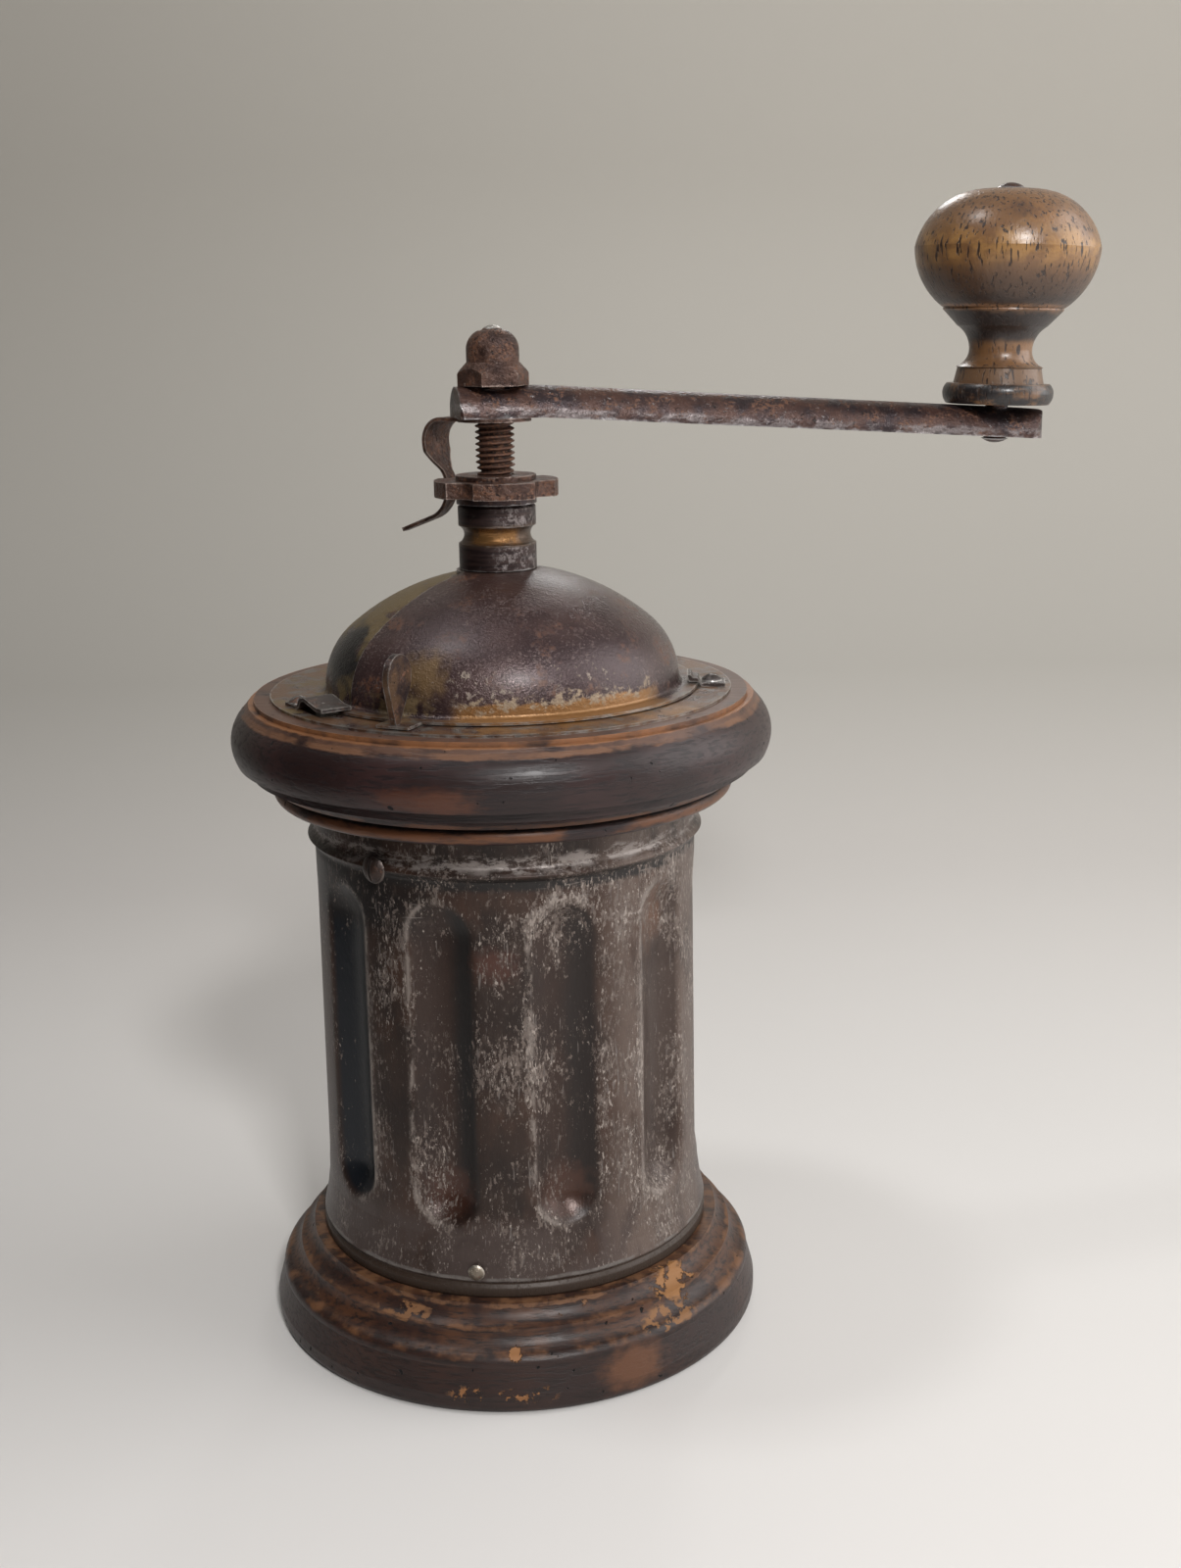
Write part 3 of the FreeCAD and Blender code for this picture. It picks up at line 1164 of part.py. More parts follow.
outline(section, [
    (S.arm_half_width, 0),
    (0, S.arm_half_width, S.arm_half_width),
    (-S.arm_half_width, 0, S.arm_half_width),
])
sweep = arm_form.newObject("PartDesign::AdditivePipe", "arm_sweep")
sweep.Profile = section
sweep.Spine = (path, ["Edge1", "Edge2", "Edge3"])
arm_form.Tip = sweep
plan = new_body("crank_arm_plan")
shape = new_sketch(plan, "arm_plan", "XY_Plane", out=S.arm_bottom - arm_end / 4)
end_centre = arm_end - S.arm_end_round
side = root(S.arm_end_round * S.arm_end_round - S.arm_half_width * S.arm_half_width)
outline(shape, [
    (-S.arm_back, S.arm_half_width - S.arm_chamfer),
    (-S.arm_back, S.arm_chamfer - S.arm_half_width),
    (S.arm_chamfer - S.arm_back, -S.arm_half_width),
    (end_centre + side, -S.arm_half_width),
    (arm_end, 0, S.arm_end_round),
    (end_centre + side, S.arm_half_width, S.arm_end_round),
    (S.arm_chamfer - S.arm_back, S.arm_half_width),
])
pushed(plan, "Pad", shape, arm_end / 2)
bar = combine("Common", "crank_bar", arm_form, plan)
side_view = new_body("crank_arm_side")
shape = new_sketch(side_view, "arm_side", "XZ_Plane")
end_low = S.arm_bottom - (arm_end - S.arm_bend) * arm_sine / arm_cosine
end_high = end_low + S.arm_half_width
outline(shape, [
    (-S.arm_back - over, S.arm_bottom - over),
    (S.arm_bend, S.arm_bottom - over),
    (arm_end - S.arm_tip_round, end_low),
    (arm_end, end_low + S.arm_tip_round, S.arm_tip_round),
    (arm_end, end_high - S.arm_tip_round),
    (arm_end - S.arm_tip_round, end_high, S.arm_tip_round),
    (S.arm_bend, arm_top + over),
    (-S.arm_back - over, arm_top + over),
])
pushed(side_view, "Pad", shape, S.arm_half_width * 3, middle=True)
bar = combine("Common", "crank_rounded_bar", bar, side_view)
tools = new_body("crank_holes")
hub_hole = new_sketch(tools, "hub_hole", "XY_Plane", out=S.arm_bottom - over)
hub_half = S.square_half + S.slip
outline(hub_hole, rectangle(-hub_half, -hub_half, hub_half, hub_half))
pushed(tools, "Pad", hub_hole, S.arm_half_width + over * 2)
crank = combine("Cut", "crank_hub_cut", bar, tools)

# The knob's pin stands on the bar and leans outward; its frame is shared by the knob.
arm_mid_height = S.arm_bottom + S.arm_half_width / 2
pin_base_height = arm_mid_height - (S.arm_reach - S.arm_bend) * (
    sine(S.arm_slope) / cosine(S.arm_slope))
pin_tool = doc.addObject("Part::Cylinder", "crank_pin_hole")
bind(pin_tool, "Radius", S.pin_radius)
bind(pin_tool, "Height", S.arm_half_width * 4)
lean = FreeCAD.Rotation(FreeCAD.Vector(0, 1, 0), S.pin_lean.value)
half_tool = S.arm_half_width * 2
pin_tool.Placement = FreeCAD.Placement(FreeCAD.Vector(1, 0, 1), lean)
bind(pin_tool, "Placement.Base.x", S.arm_reach - half_tool * sine(S.pin_lean))
bind(pin_tool, "Placement.Base.z", pin_base_height - half_tool * cosine(S.pin_lean))
bind(pin_tool, "Placement.Rotation.Angle", S.pin_lean)
crank = combine("Cut", "crank_arm", crank, pin_tool)
crank.Placement = FreeCAD.Placement(FreeCAD.Vector(0, 0, 0),
                                    FreeCAD.Rotation(UP, S.arm_angle.value))
bind(crank, "Placement.Rotation.Angle", S.arm_angle)
keep(crank, "crank_arm")

# Cap nut: a chamfered hexagon and a long dome, open at the top for the spindle's tip.
cap = new_body("cap_nut")
corner = S.cap_flats / (2 * cosine(size(30)))
hexagon = new_sketch(cap, "cap_hexagon", "XY_Plane", out=arm_top, turn=S.arm_angle,
                     axis=(0, 0, 1))
outline(hexagon, [
    (corner * cosine(size(60 * step)), corner * sine(size(60 * step)))
    if step % 3 else (corner * math.cos(math.radians(60 * step)), 0)
    for step in range(6)
])
pushed(cap, "Pad", hexagon, S.cap_hex_height)
bevel = new_sketch(cap, "cap_bevel", "XZ_Plane", up=arm_top + S.cap_hex_height)
bevel_run = corner + 1 - S.cap_dome_radius
bevel_drop = bevel_run * sine(S.cap_bevel) / cosine(S.cap_bevel)
outline(bevel, [(S.cap_dome_radius, 0), (corner + 1, 0), (corner + 1, -bevel_drop)])
turned(cap, "Groove", bevel)
profile = new_sketch(cap, "cap_dome", "XZ_Plane", up=arm_top)
outline(profile, [
    (0, S.cap_hex_height / 2),
    (S.cap_dome_radius, S.cap_hex_height / 2),
    (S.cap_dome_radius, S.cap_height - S.cap_round),
    (S.cap_dome_radius - S.cap_round, S.cap_height, S.cap_round),
    (0, S.cap_height),
])
turned(cap, "Revolution", profile)
bore = new_sketch(cap, "cap_bore", "XY_Plane", out=arm_top + S.cap_height)
circle(bore, 0, 0, S.tip_radius + S.slip)
pushed(cap, "Pocket", bore, S.cap_height)
keep(cap, "cap_nut")


def on_pin(thing):
    """Stands a piece, drawn about its own Z axis, on the leaning pin of the crank."""
    turn = FreeCAD.Rotation(UP, S.arm_angle.value)
    rotation = turn.multiply(lean)
    reach = S.arm_reach.value
    angle = math.radians(S.arm_angle.value)
    base = FreeCAD.Vector(reach * math.cos(angle), reach * math.sin(angle),
                          pin_base_height.value)
    thing.Placement = FreeCAD.Placement(base, rotation)
    thing.setExpression("Placement.Base.x", (S.arm_reach * cosine(S.arm_angle)).formula)
    thing.setExpression("Placement.Base.y", (S.arm_reach * sine(S.arm_angle)).formula)
    thing.setExpression("Placement.Base.z", pin_base_height.formula)



def upright_end(run, rise):
    """The radius of an arc over a run and a rise that is upright at one of its ends."""
    return (run * run + rise * rise) / (run * 2)


# Turned knob, loose on its pin: foot ring, band, hollow neck, bead line and a full round head.
knob = new_body("knob")
profile = new_sketch(knob, "knob_profile", "XZ_Plane")
foot_widest = S.knob_bottom + S.knob_foot_widest
foot_high = S.knob_bottom + S.knob_foot_height
band_high = foot_high + S.knob_band_height
outline(profile, [
    (S.pin_radius + S.slip, S.knob_bottom),
    (S.knob_foot_radius - S.knob_foot_edge, S.knob_bottom),
    (S.knob_foot_radius, foot_widest, upright_end(S.knob_foot_edge, S.knob_foot_widest)),
    (S.knob_foot_radius - S.knob_foot_edge, foot_high,
     upright_end(S.knob_foot_edge, foot_high - foot_widest)),
    (S.knob_band_radius, foot_high),
    (S.knob_band_top, band_high),
    (S.knob_band_top + S.knob_band_bead, band_high + S.knob_band_bead / 2),
    (S.knob_band_top, band_high + S.knob_band_bead),
    (S.knob_neck_radius, S.knob_neck_height,
     -upright_end(S.knob_band_top - S.knob_neck_radius,
                  S.knob_neck_height - band_high - S.knob_band_bead)),
    (S.knob_flare_radius, S.knob_flare_height,
     -upright_end(S.knob_flare_radius - S.knob_neck_radius,
                  S.knob_flare_height - S.knob_neck_height)),
    (S.knob_radius * 0.655, S.knob_bead_height - 0.1),
    (S.knob_radius * 0.65, S.knob_bead_height + 0.3),
    (S.knob_radius * 0.67, S.knob_bead_height + 0.5),
    (S.knob_radius, S.knob_belly_height, 16.6),
    (S.knob_top_radius, S.knob_top, 15.2),
    (S.pin_radius + S.slip, S.knob_top),
])
turned(knob, "Revolution", profile)
on_pin(knob)
keep(knob, "knob")

pin = new_body("knob_pin")
profile = new_sketch(pin, "pin_profile", "XZ_Plane")
head_seat = S.knob_top + S.slip
pin_foot = S.arm_half_width / 2 + 0.5
foot_radius = S.pin_radius + 0.5
foot_rise = foot_radius / 3
outline(profile, [
    (0, -pin_foot - foot_rise),
    (foot_radius, -pin_foot, cap_sphere(foot_radius, foot_rise)),
    (S.pin_radius, -pin_foot),
    (S.pin_radius, head_seat),
    (S.pin_head, head_seat),
    (0, head_seat + S.pin_dome, cap_sphere(S.pin_head, S.pin_dome)),
])
turned(pin, "Revolution", profile)
on_pin(pin)
keep(pin, "knob_pin")

# Outer burr: a cast bowl that hangs from the cornice's spigot, with the fixed toothed cone.
flange_low = S.cornice_spigot_bottom - S.bowl_flange_height
wall = S.bowl_mouth + 1.2
bowl = new_body("outer_burr")
profile = new_sketch(bowl, "bowl_profile", "XZ_Plane")
outline(profile, [
    (S.bowl_mouth, S.cornice_spigot_bottom),
    (S.throat_radius, S.throat_height),
    (S.ring_radius, S.ring_bottom),
    (S.ring_outer, S.ring_bottom),
    (S.ring_outer, S.throat_height - 2),
    (wall, flange_low - 1),
    (wall, flange_low),
    (S.bowl_flange, flange_low),
    (S.bowl_flange, S.cornice_spigot_bottom),
])
turned(bowl, "Revolution", profile)
cone_rise = S.throat_height - S.ring_bottom
cone_run = S.ring_radius - S.throat_radius
cone_angle = slope_angle(cone_run, cone_rise)
half_rise = cone_rise / 2
groove = new_sketch(bowl, "bowl_groove", "YZ_Plane", up=S.ring_bottom + half_rise,
                    out=(S.ring_radius + S.throat_radius) / 2 + S.tooth_depth,
                    turn=-cone_angle, axis=(1, 0, 0))


def slanted(width, slant, half_length):
    """A groove's outline: a slanted strip."""
    half = width / 2
    return [
        (-half - slant, -half_length),
        (half - slant, -half_length),
        (half + slant, half_length),
        (slant - half, half_length),
    ]


outline(groove, slanted(S.tooth_width, -S.tooth_slant, half_rise + 0.6))
tooth = pushed(bowl, "Pocket", groove, S.tooth_depth + 2.5)
repeated(bowl, tooth, S.tooth_count)
upright_holes(bowl, "bowl_flange_hole", S.burr_screw_angle, S.burr_screw_radius,
              S.small_screw_shank + S.slip, S.cornice_spigot_bottom,
              S.bowl_flange_height, S.burr_screw_count)
bridge_hole = S.bridge_screw_length - S.ring_bottom + S.bridge_top - S.bridge_height
upright_holes(bowl, "bowl_bridge_hole", 0, S.bridge_screw_radius, S.bridge_screw_shank,
              S.ring_bottom + bridge_hole, bridge_hole, 2)
keep(bowl, "outer_burr")

# Inner burr: a fine toothed cone below and slanted breaking blades above.
burr = new_body("inner_burr")
profile = new_sketch(burr, "burr_profile", "XZ_Plane")
fine_low = S.ring_radius + (S.ring_bottom - S.burr_bottom) * cone_run / cone_rise - S.burr_gap
fine_high = S.ring_radius + (S.ring_bottom - S.burr_waist) * cone_run / cone_rise - S.burr_gap
outline(profile, [
    (S.spindle_radius, S.burr_bottom),
    (fine_low, S.burr_bottom),
    (fine_high, S.burr_waist),
    (S.burr_nose_radius, S.burr_nose - 1),
    (S.burr_nose_radius - 1.2, S.burr_nose),
    (S.spindle_radius, S.burr_nose),
])
turned(burr, "Revolution", profile)
fine_half = (S.burr_waist - S.burr_bottom) / 2
groove = new_sketch(burr, "burr_fine_groove", "YZ_Plane", up=S.burr_bottom + fine_half,
                    out=(fine_low + fine_high) / 2 - S.tooth_depth,
                    turn=-cone_angle, axis=(1, 0, 0))
outline(groove, slanted(S.tooth_width, S.tooth_slant * 0.6, fine_half + 0.8))
tooth = pushed(burr, "Pocket", groove, S.tooth_depth + 2, flip=True)
repeated(burr, tooth, S.tooth_count)
blade_rise = S.burr_nose - 1 - S.burr_waist
blade_angle = slope_angle(fine_high - S.burr_nose_radius, blade_rise)
blade_half = blade_rise / 2
groove = new_sketch(burr, "burr_blade_groove", "YZ_Plane", up=S.burr_waist + blade_half + 1,
                    out=(fine_high + S.burr_nose_radius) / 2 - S.blade_depth,
                    turn=-blade_angle, axis=(1, 0, 0))
outline(groove, slanted(S.blade_groove, S.tooth_slant * 2, blade_half + 3))
tooth = pushed(burr, "Pocket", groove, S.blade_depth + 5, flip=True)
repeated(burr, tooth, S.blade_count)
slot = new_sketch(burr, "burr_slot", "XZ_Plane", out=-S.drive_pin_length / 2 - S.slip)
slot_side = S.drive_pin_radius + S.slip
outline(slot, rectangle(-slot_side, S.burr_bottom - 1, slot_side,
                        pin_height + S.drive_pin_radius))
pushed(burr, "Pocket", slot, S.drive_pin_length + 2 * S.slip, flip=True)
keep(burr, "inner_burr")

# Cross pin that carries and drives the inner burr.
drive = new_body("burr_pin")
profile = new_sketch(drive, "burr_pin_circle", "XZ_Plane")
circle(profile, 0, pin_height, S.drive_pin_radius)
pushed(drive, "Pad", profile, S.drive_pin_length, middle=True)
keep(drive, "burr_pin")

# Bridge below the burrs, with the spindle's lower bearing.
bridge = new_body("burr_bridge")
bridge_low = S.bridge_top - S.bridge_height
bar = new_sketch(bridge, "bridge_bar", "XY_Plane", out=bridge_low)
outline(bar, [
    (S.ring_outer - 1, -S.bridge_half_width),
    (S.ring_outer - 1, S.bridge_half_width, S.ring_outer),
    (-S.ring_outer + 1, S.bridge_half_width),
    (-S.ring_outer + 1, -S.bridge_half_width, S.ring_outer),
])
pushed(bridge, "Pad", bar, S.bridge_height)
pad = new_sketch(bridge, "bridge_pad", "XY_Plane", out=S.bridge_top)
pad_low = S.ring_radius + S.tooth_depth
outline(pad, rectangle(pad_low, -S.bridge_half_width, S.ring_outer - 1, S.bridge_half_width))
foot = pushed(bridge, "Pad", pad, S.ring_bottom - S.bridge_top)
repeated(bridge, foot, 2)
boss = new_sketch(bridge, "bridge_boss_circle", "XY_Plane", out=S.bridge_boss_bottom)
circle(boss, 0, 0, S.bridge_boss)
pushed(bridge, "Pad", boss, S.bridge_top - S.bridge_boss_bottom)
bore = new_sketch(bridge, "bridge_bore", "XY_Plane", out=S.bridge_top)
circle(bore, 0, 0, S.journal_radius + S.slip)
pushed(bridge, "Pocket", bore, S.bridge_top - S.bridge_boss_bottom)
upright_holes(bridge, "bridge_screw_hole", 0, S.bridge_screw_radius,
              S.bridge_screw_shank + S.slip, S.ring_bottom, S.ring_bottom - bridge_low, 2)
keep(bridge, "burr_bridge")

bridge_screw = headed_pin("bridge_screw_form", S.bridge_screw_shank, S.bridge_screw_length,
                          S.bridge_screw_head, S.screw_dome, slot_half)
group("bridge_screws", ring_of(bridge_screw, 2, 0, S.bridge_screw_radius, bridge_low, 180))
burr_screw = headed_pin("burr_screw_form", S.small_screw_shank, S.burr_screw_length,
                        S.burr_screw_head, S.screw_dome, slot_half)
group("burr_screws", ring_of(burr_screw, S.burr_screw_count, S.burr_screw_angle,
                             S.burr_screw_radius, flange_low, 180))
shell_screw = headed_pin("shell_screw_form", S.shell_screw_shank,
                         S.shell_screw_length + S.sheet_metal + S.seat_gap + 0.8,
                         S.shell_screw_head, S.screw_dome, slot_half)
shell_seat = S.shell_bead_radius + 0.02
group("shell_screws", ring_of(shell_screw, S.shell_screw_count, S.shell_screw_angle,
                              shell_seat, shell_screw_height, 90))
nail = headed_pin("base_nail_form", S.nail_shank, S.nail_length, S.nail_head, S.nail_dome)
flare_share = (S.nail_height - S.base_top_height - S.shell_flare_rise) / (
    S.shell_flare_top - S.base_top_height - S.shell_flare_rise)
nail_seat = (S.shell_flare_radius
             - (S.shell_flare_radius - S.shell_low_radius) * flare_share + 0.3)
group("base_nails", ring_of(nail, S.nail_count, S.nail_angle, nail_seat, S.nail_height, 90))

# Drawer: an open tray with a curved end wall, the curved front outside the column, and a
# small turned knob held by a rivet.
front_inner = S.shell_low_radius + S.front_gap
wall_radius = front_inner - S.slip
inner_wall = wall_radius - S.tray_sheet
inner_half = S.tray_half_width - S.tray_sheet
wall_end = root(wall_radius * wall_radius - S.tray_half_width * S.tray_half_width)
inner_end = root(inner_wall * inner_wall - inner_half * inner_half)
tray = new_body("drawer_tray")
plan = new_sketch(tray, "tray_plan", "XY_Plane", out=S.tray_bottom)
outline(plan, [
    (-S.tray_half_width, -S.tray_front),
    (S.tray_half_width, -S.tray_front),
    (S.tray_half_width, wall_end),
    (-S.tray_half_width, wall_end, wall_radius),
])
pushed(tray, "Pad", plan, S.tray_top - S.tray_bottom)
hollow = new_sketch(tray, "tray_hollow", "XY_Plane", out=S.tray_top)
outline(hollow, [
    (-inner_half, S.tray_sheet - S.tray_front),
    (inner_half, S.tray_sheet - S.tray_front),
    (inner_half, inner_end),
    (-inner_half, inner_end, inner_wall),
])
pushed(tray, "Pocket", hollow, S.tray_top - S.tray_bottom - S.tray_sheet)
rivet_hole = new_sketch(tray, "tray_rivet_hole", "XZ_Plane")
circle(rivet_hole, 0, S.drawer_knob_height, S.rivet_radius)
pushed(tray, "Pocket", rivet_hole, wall_radius + 1)
keep(tray, "drawer_tray")

front = new_body("drawer_front")
profile = new_sketch(front, "front_section", "YZ_Plane")
outline(profile, rectangle(front_inner, S.front_bottom, front_inner + S.tray_sheet,
                           S.front_top))
turned(front, "Revolution", profile, angle=S.front_half_angle * 2, middle=True)
rivet_hole = new_sketch(front, "front_rivet_hole", "XZ_Plane")
circle(rivet_hole, 0, S.drawer_knob_height, S.rivet_radius)
pushed(front, "Pocket", rivet_hole, front_inner + 5)
keep(front, "drawer_front")

knob_seat = front_inner + S.tray_sheet
pull = new_body("drawer_knob")
profile = new_sketch(pull, "drawer_knob_profile", "YZ_Plane", up=S.drawer_knob_height)
pull_end = knob_seat + S.drawer_knob_length
outline(profile, [
    (knob_seat + S.slip, S.rivet_radius),
    (pull_end - 0.4, S.rivet_radius),
    (pull_end - 0.4, S.rivet_head + 0.5),
    (pull_end - 3.4, S.drawer_knob_radius, 4.2),
    (pull_end - 6.2, S.drawer_knob_neck + 0.5, 3.8),
    (knob_seat + 2.2, S.drawer_knob_neck),
    (knob_seat + S.slip, S.drawer_knob_neck + 1.4),
])
turned(pull, "Revolution", profile, axis="H_Axis")
keep(pull, "drawer_knob")

rivet = new_body("drawer_rivet")
profile = new_sketch(rivet, "rivet_profile", "YZ_Plane", up=S.drawer_knob_height)
rivet_sphere = cap_sphere(S.rivet_head, S.rivet_dome)
rivet_low = inner_wall - S.slip
rivet_high = pull_end - 0.4 + S.slip
outline(profile, [
    (rivet_low - S.rivet_dome, 0),
    (rivet_high + S.rivet_dome, 0),
    (rivet_high, S.rivet_head, rivet_sphere),
    (rivet_high, S.rivet_radius),
    (rivet_low, S.rivet_radius),
    (rivet_low, S.rivet_head),
    (rivet_low - S.rivet_dome, 0, rivet_sphere),
][1:])
turned(rivet, "Revolution", profile, axis="H_Axis")
keep(rivet, "drawer_rivet")

doc.recompute()
for thing in doc.Objects:
    for word in ("Invalid", "Error"):
        if word in thing.State:
            raise RuntimeError(f"{thing.Name}: {thing.State}")
for thing in sub_parts:
    if thing.Shape.isNull() or not thing.Shape.isValid() or not thing.Shape.Solids:
        raise RuntimeError(f"{thing.Label} has no valid solid")
os.makedirs("parts", exist_ok=True)
for thing in sub_parts:
    thing.Shape.exportStep(f"parts/{thing.Label}.step")
    solids = len(thing.Shape.Solids)
    print(f"{thing.Label}: {solids} solid(s), {thing.Shape.Volume:.1f} mm3")
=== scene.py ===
# %% [markdown]
# # An old column coffee grinder
# The grinder is a fluted sheet-metal column between two turned wooden rings. A steel dome
# holds the beans, and a spindle with a star nut carries the crank and its beech knob.
# The metal and wooden parts come from the CAD model and stay where they are. This notebook
# gives them their worn finishes, and it models anew what a CAD solid can't show well: the
# thread of the spindle and the soft, pressed form of the sheet column.

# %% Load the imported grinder
import math

import bpy
import numpy as np
from mathutils import Matrix, Vector


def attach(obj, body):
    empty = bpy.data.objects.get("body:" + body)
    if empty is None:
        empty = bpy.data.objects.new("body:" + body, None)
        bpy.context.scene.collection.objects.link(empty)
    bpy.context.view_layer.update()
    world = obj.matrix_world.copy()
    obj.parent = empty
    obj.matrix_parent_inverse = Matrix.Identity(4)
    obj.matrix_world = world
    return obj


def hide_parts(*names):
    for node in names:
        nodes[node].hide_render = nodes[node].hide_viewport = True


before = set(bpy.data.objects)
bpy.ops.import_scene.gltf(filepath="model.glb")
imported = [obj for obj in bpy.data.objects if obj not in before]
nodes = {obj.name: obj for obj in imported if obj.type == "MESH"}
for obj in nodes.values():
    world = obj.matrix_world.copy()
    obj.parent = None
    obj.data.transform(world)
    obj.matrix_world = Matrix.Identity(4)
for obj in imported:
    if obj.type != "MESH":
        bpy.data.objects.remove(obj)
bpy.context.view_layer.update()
MM = 0.001
print("nodes:", len(nodes))

# %% [markdown]
# ## Camera
# The camera stands in front of the grinder and a little above its crank. Its place comes
# from the ellipses that the round rings make in the picture, and the lens is given by how
# many pixels one radian covers. It is set as three turns: sideways, downwards and about
# its own line of sight.

# %% Camera
PICTURE_WIDTH = 1205
FOCAL_PIXELS = 1883
SENSOR = 36.0
EYE = (0.0, -0.396, 0.2218)
EYE_TURNS = (2.76, 14.28, -0.88)
yaw, pitch, roll = (math.radians(degrees) for degrees in EYE_TURNS)
ahead = Vector((math.sin(yaw) * math.cos(pitch), math.cos(yaw) * math.cos(pitch), -math.sin(pitch)))
level = Vector((math.cos(yaw), -math.sin(yaw), 0))
upward = level.cross(ahead)
right = level * math.cos(roll) + upward * math.sin(roll)
above = upward * math.cos(roll) - level * math.sin(roll)
camera_data = bpy.data.cameras.new("camera")
camera_data.sensor_fit = "HORIZONTAL"
camera_data.sensor_width = SENSOR
camera_data.lens = SENSOR * FOCAL_PIXELS / PICTURE_WIDTH
camera_data.clip_start = 0.01
camera = bpy.data.objects.new("camera", camera_data)
bpy.context.scene.collection.objects.link(camera)
camera.matrix_world = Matrix(
    (
        (right.x, above.x, -ahead.x, EYE[0]),
        (right.y, above.y, -ahead.y, EYE[1]),
        (right.z, above.z, -ahead.z, EYE[2]),
        (0, 0, 0, 1),
    )
)
bpy.context.scene.camera = camera
print("lens:", round(camera_data.lens, 2), "mm")

# %% [markdown]
# ## Helpers for surfaces
# Every new piece is a grid: a table of points with rows and columns, worked out as whole
# arrays. One function turns such a table into a mesh, joins its edges where the shape goes
# all the way round, and stores extra values that a material can read at each point.


# %% Grid to mesh
def grid_piece(name, points, body=None, around=True, keep=None, values=()):
    """Make a mesh from points[row, column]: each cell of the table becomes one quad.

    `around` joins the last column to the first; `keep` is a table of true and false that
    leaves out cells; `values` maps the name of a value to its table, one number per point.
    """
    rows, columns = points.shape[:2]
    index = np.arange(rows * columns).reshape(rows, columns)
    low = index[:-1]
    high = index[1:]
    left = low if around else low[:, :-1]
    right_side = np.roll(low, -1, 1) if around else low[:, 1:]
    upper_right = np.roll(high, -1, 1) if around else high[:, 1:]
    upper_left = high if around else high[:, :-1]
    cells = np.stack([left, right_side, upper_right, upper_left], -1)
    cells = cells[keep] if keep is not None else cells.reshape(-1, 4)
    mesh = bpy.data.meshes.new(name)
    mesh.from_pydata(points.reshape(-1, 3), [], cells.reshape(-1, 4).tolist())
    for key, table in dict(values).items():
        layer = mesh.attributes.new(key, "FLOAT", "POINT")
        layer.data.foreach_set("value", table.astype(np.float32).ravel())
    mesh.shade_smooth()
    piece = bpy.data.objects.new(name, mesh)
    bpy.context.scene.collection.objects.link(piece)
    if body:
        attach(piece, body)
    print(name, len(mesh.polygons), "faces")
    return piece


# %% [markdown]
# ## Helpers for finishes
# An old object shows its history: dark oxide, rubbed edges and rust specks. Some finishes are also darker
# in corners and hollows, and some layers paint shade and light. Each of these is a mask, a number from 0
# to 1 over the surface, and a finish is a pile of layers that such masks let through. All sizes are real
# millimetres.


# %% Colour and nodes
def linear(colour):
    """Turn an sRGB hex value into the linear RGBA that Blender's nodes take."""
    parts = [int(colour[i:i + 2], 16) / 255 for i in (1, 3, 5)]
    curve = [p / 12.92 if p <= 0.04045 else ((p + 0.055) / 1.055) ** 2.4 for p in parts]
    return (*curve, 1.0)


def add(tree, kind, inputs=(), **settings):
    """Add one node with its settings; each input takes a value or another node's output."""
    node = tree.nodes.new(kind)
    for name, value in settings.items():
        setattr(node, name, value)
    for socket, value in dict(inputs).items():
        if isinstance(value, bpy.types.NodeSocket):
            tree.links.new(value, node.inputs[socket])
        else:
            node.inputs[socket].default_value = value
    return node


# %% Where a point lies
def place_on(tree, axis=(0, 0, 1), foot=(0, 0, 0)):
    """Sockets that say where a point is, in millimetres, seen from a foot and an axis.

    height is measured along the axis, radius away from the upright line through the
    foot, and angle in degrees round it, 0 at the front and positive to the right.
    """
    coords = add(tree, "ShaderNodeTexCoord")
    moved = add(tree, "ShaderNodeVectorMath",
                {0: coords.outputs["Object"], 1: [c * MM for c in foot]}, operation="SUBTRACT")
    point = add(tree, "ShaderNodeVectorMath", {0: moved.outputs[0], "Scale": 1 / MM}, operation="SCALE")
    split = add(tree, "ShaderNodeSeparateXYZ", {0: point.outputs[0]})
    height = add(tree, "ShaderNodeVectorMath", {0: point.outputs[0], 1: axis}, operation="DOT_PRODUCT")
    flat = add(tree, "ShaderNodeCombineXYZ", {0: split.outputs[0], 1: split.outputs[1]})
    radius = add(tree, "ShaderNodeVectorMath", {0: flat.outputs[0]}, operation="LENGTH")
    front = add(tree, "ShaderNodeMath", {0: split.outputs[1], 1: -1.0}, operation="MULTIPLY")
    turn = add(tree, "ShaderNodeMath", {0: split.outputs[0], 1: front.outputs[0]}, operation="ARCTAN2")
    angle = add(tree, "ShaderNodeMath", {0: turn.outputs[0]}, operation="DEGREES")
    return {"point": point.outputs[0], "x": split.outputs[0], "y": split.outputs[1],
            "height": height.outputs["Value"], "radius": radius.outputs["Value"],
            "angle": angle.outputs[0]}


# %% Masks
SPOT_NOISE = 1.4
SPOT_EDGE = 1.6
RIM_GRAIN = 2.5
RIM_UNEVEN = 0.25


def times(tree, mask, within):
    """One mask inside another; with None the first stays as it is."""
    if within is None:
        return mask
    return add(tree, "ShaderNodeMath", {0: mask, 1: within}, operation="MULTIPLY").outputs[0]


def total(tree, *pairs):
    """The sum of masks, each times its own weight."""
    value = 0.0
    for mask, weight in pairs:
        step = add(tree, "ShaderNodeMath", {0: mask, 1: weight, 2: value}, operation="MULTIPLY_ADD")
        value = step.outputs[0]
    return value


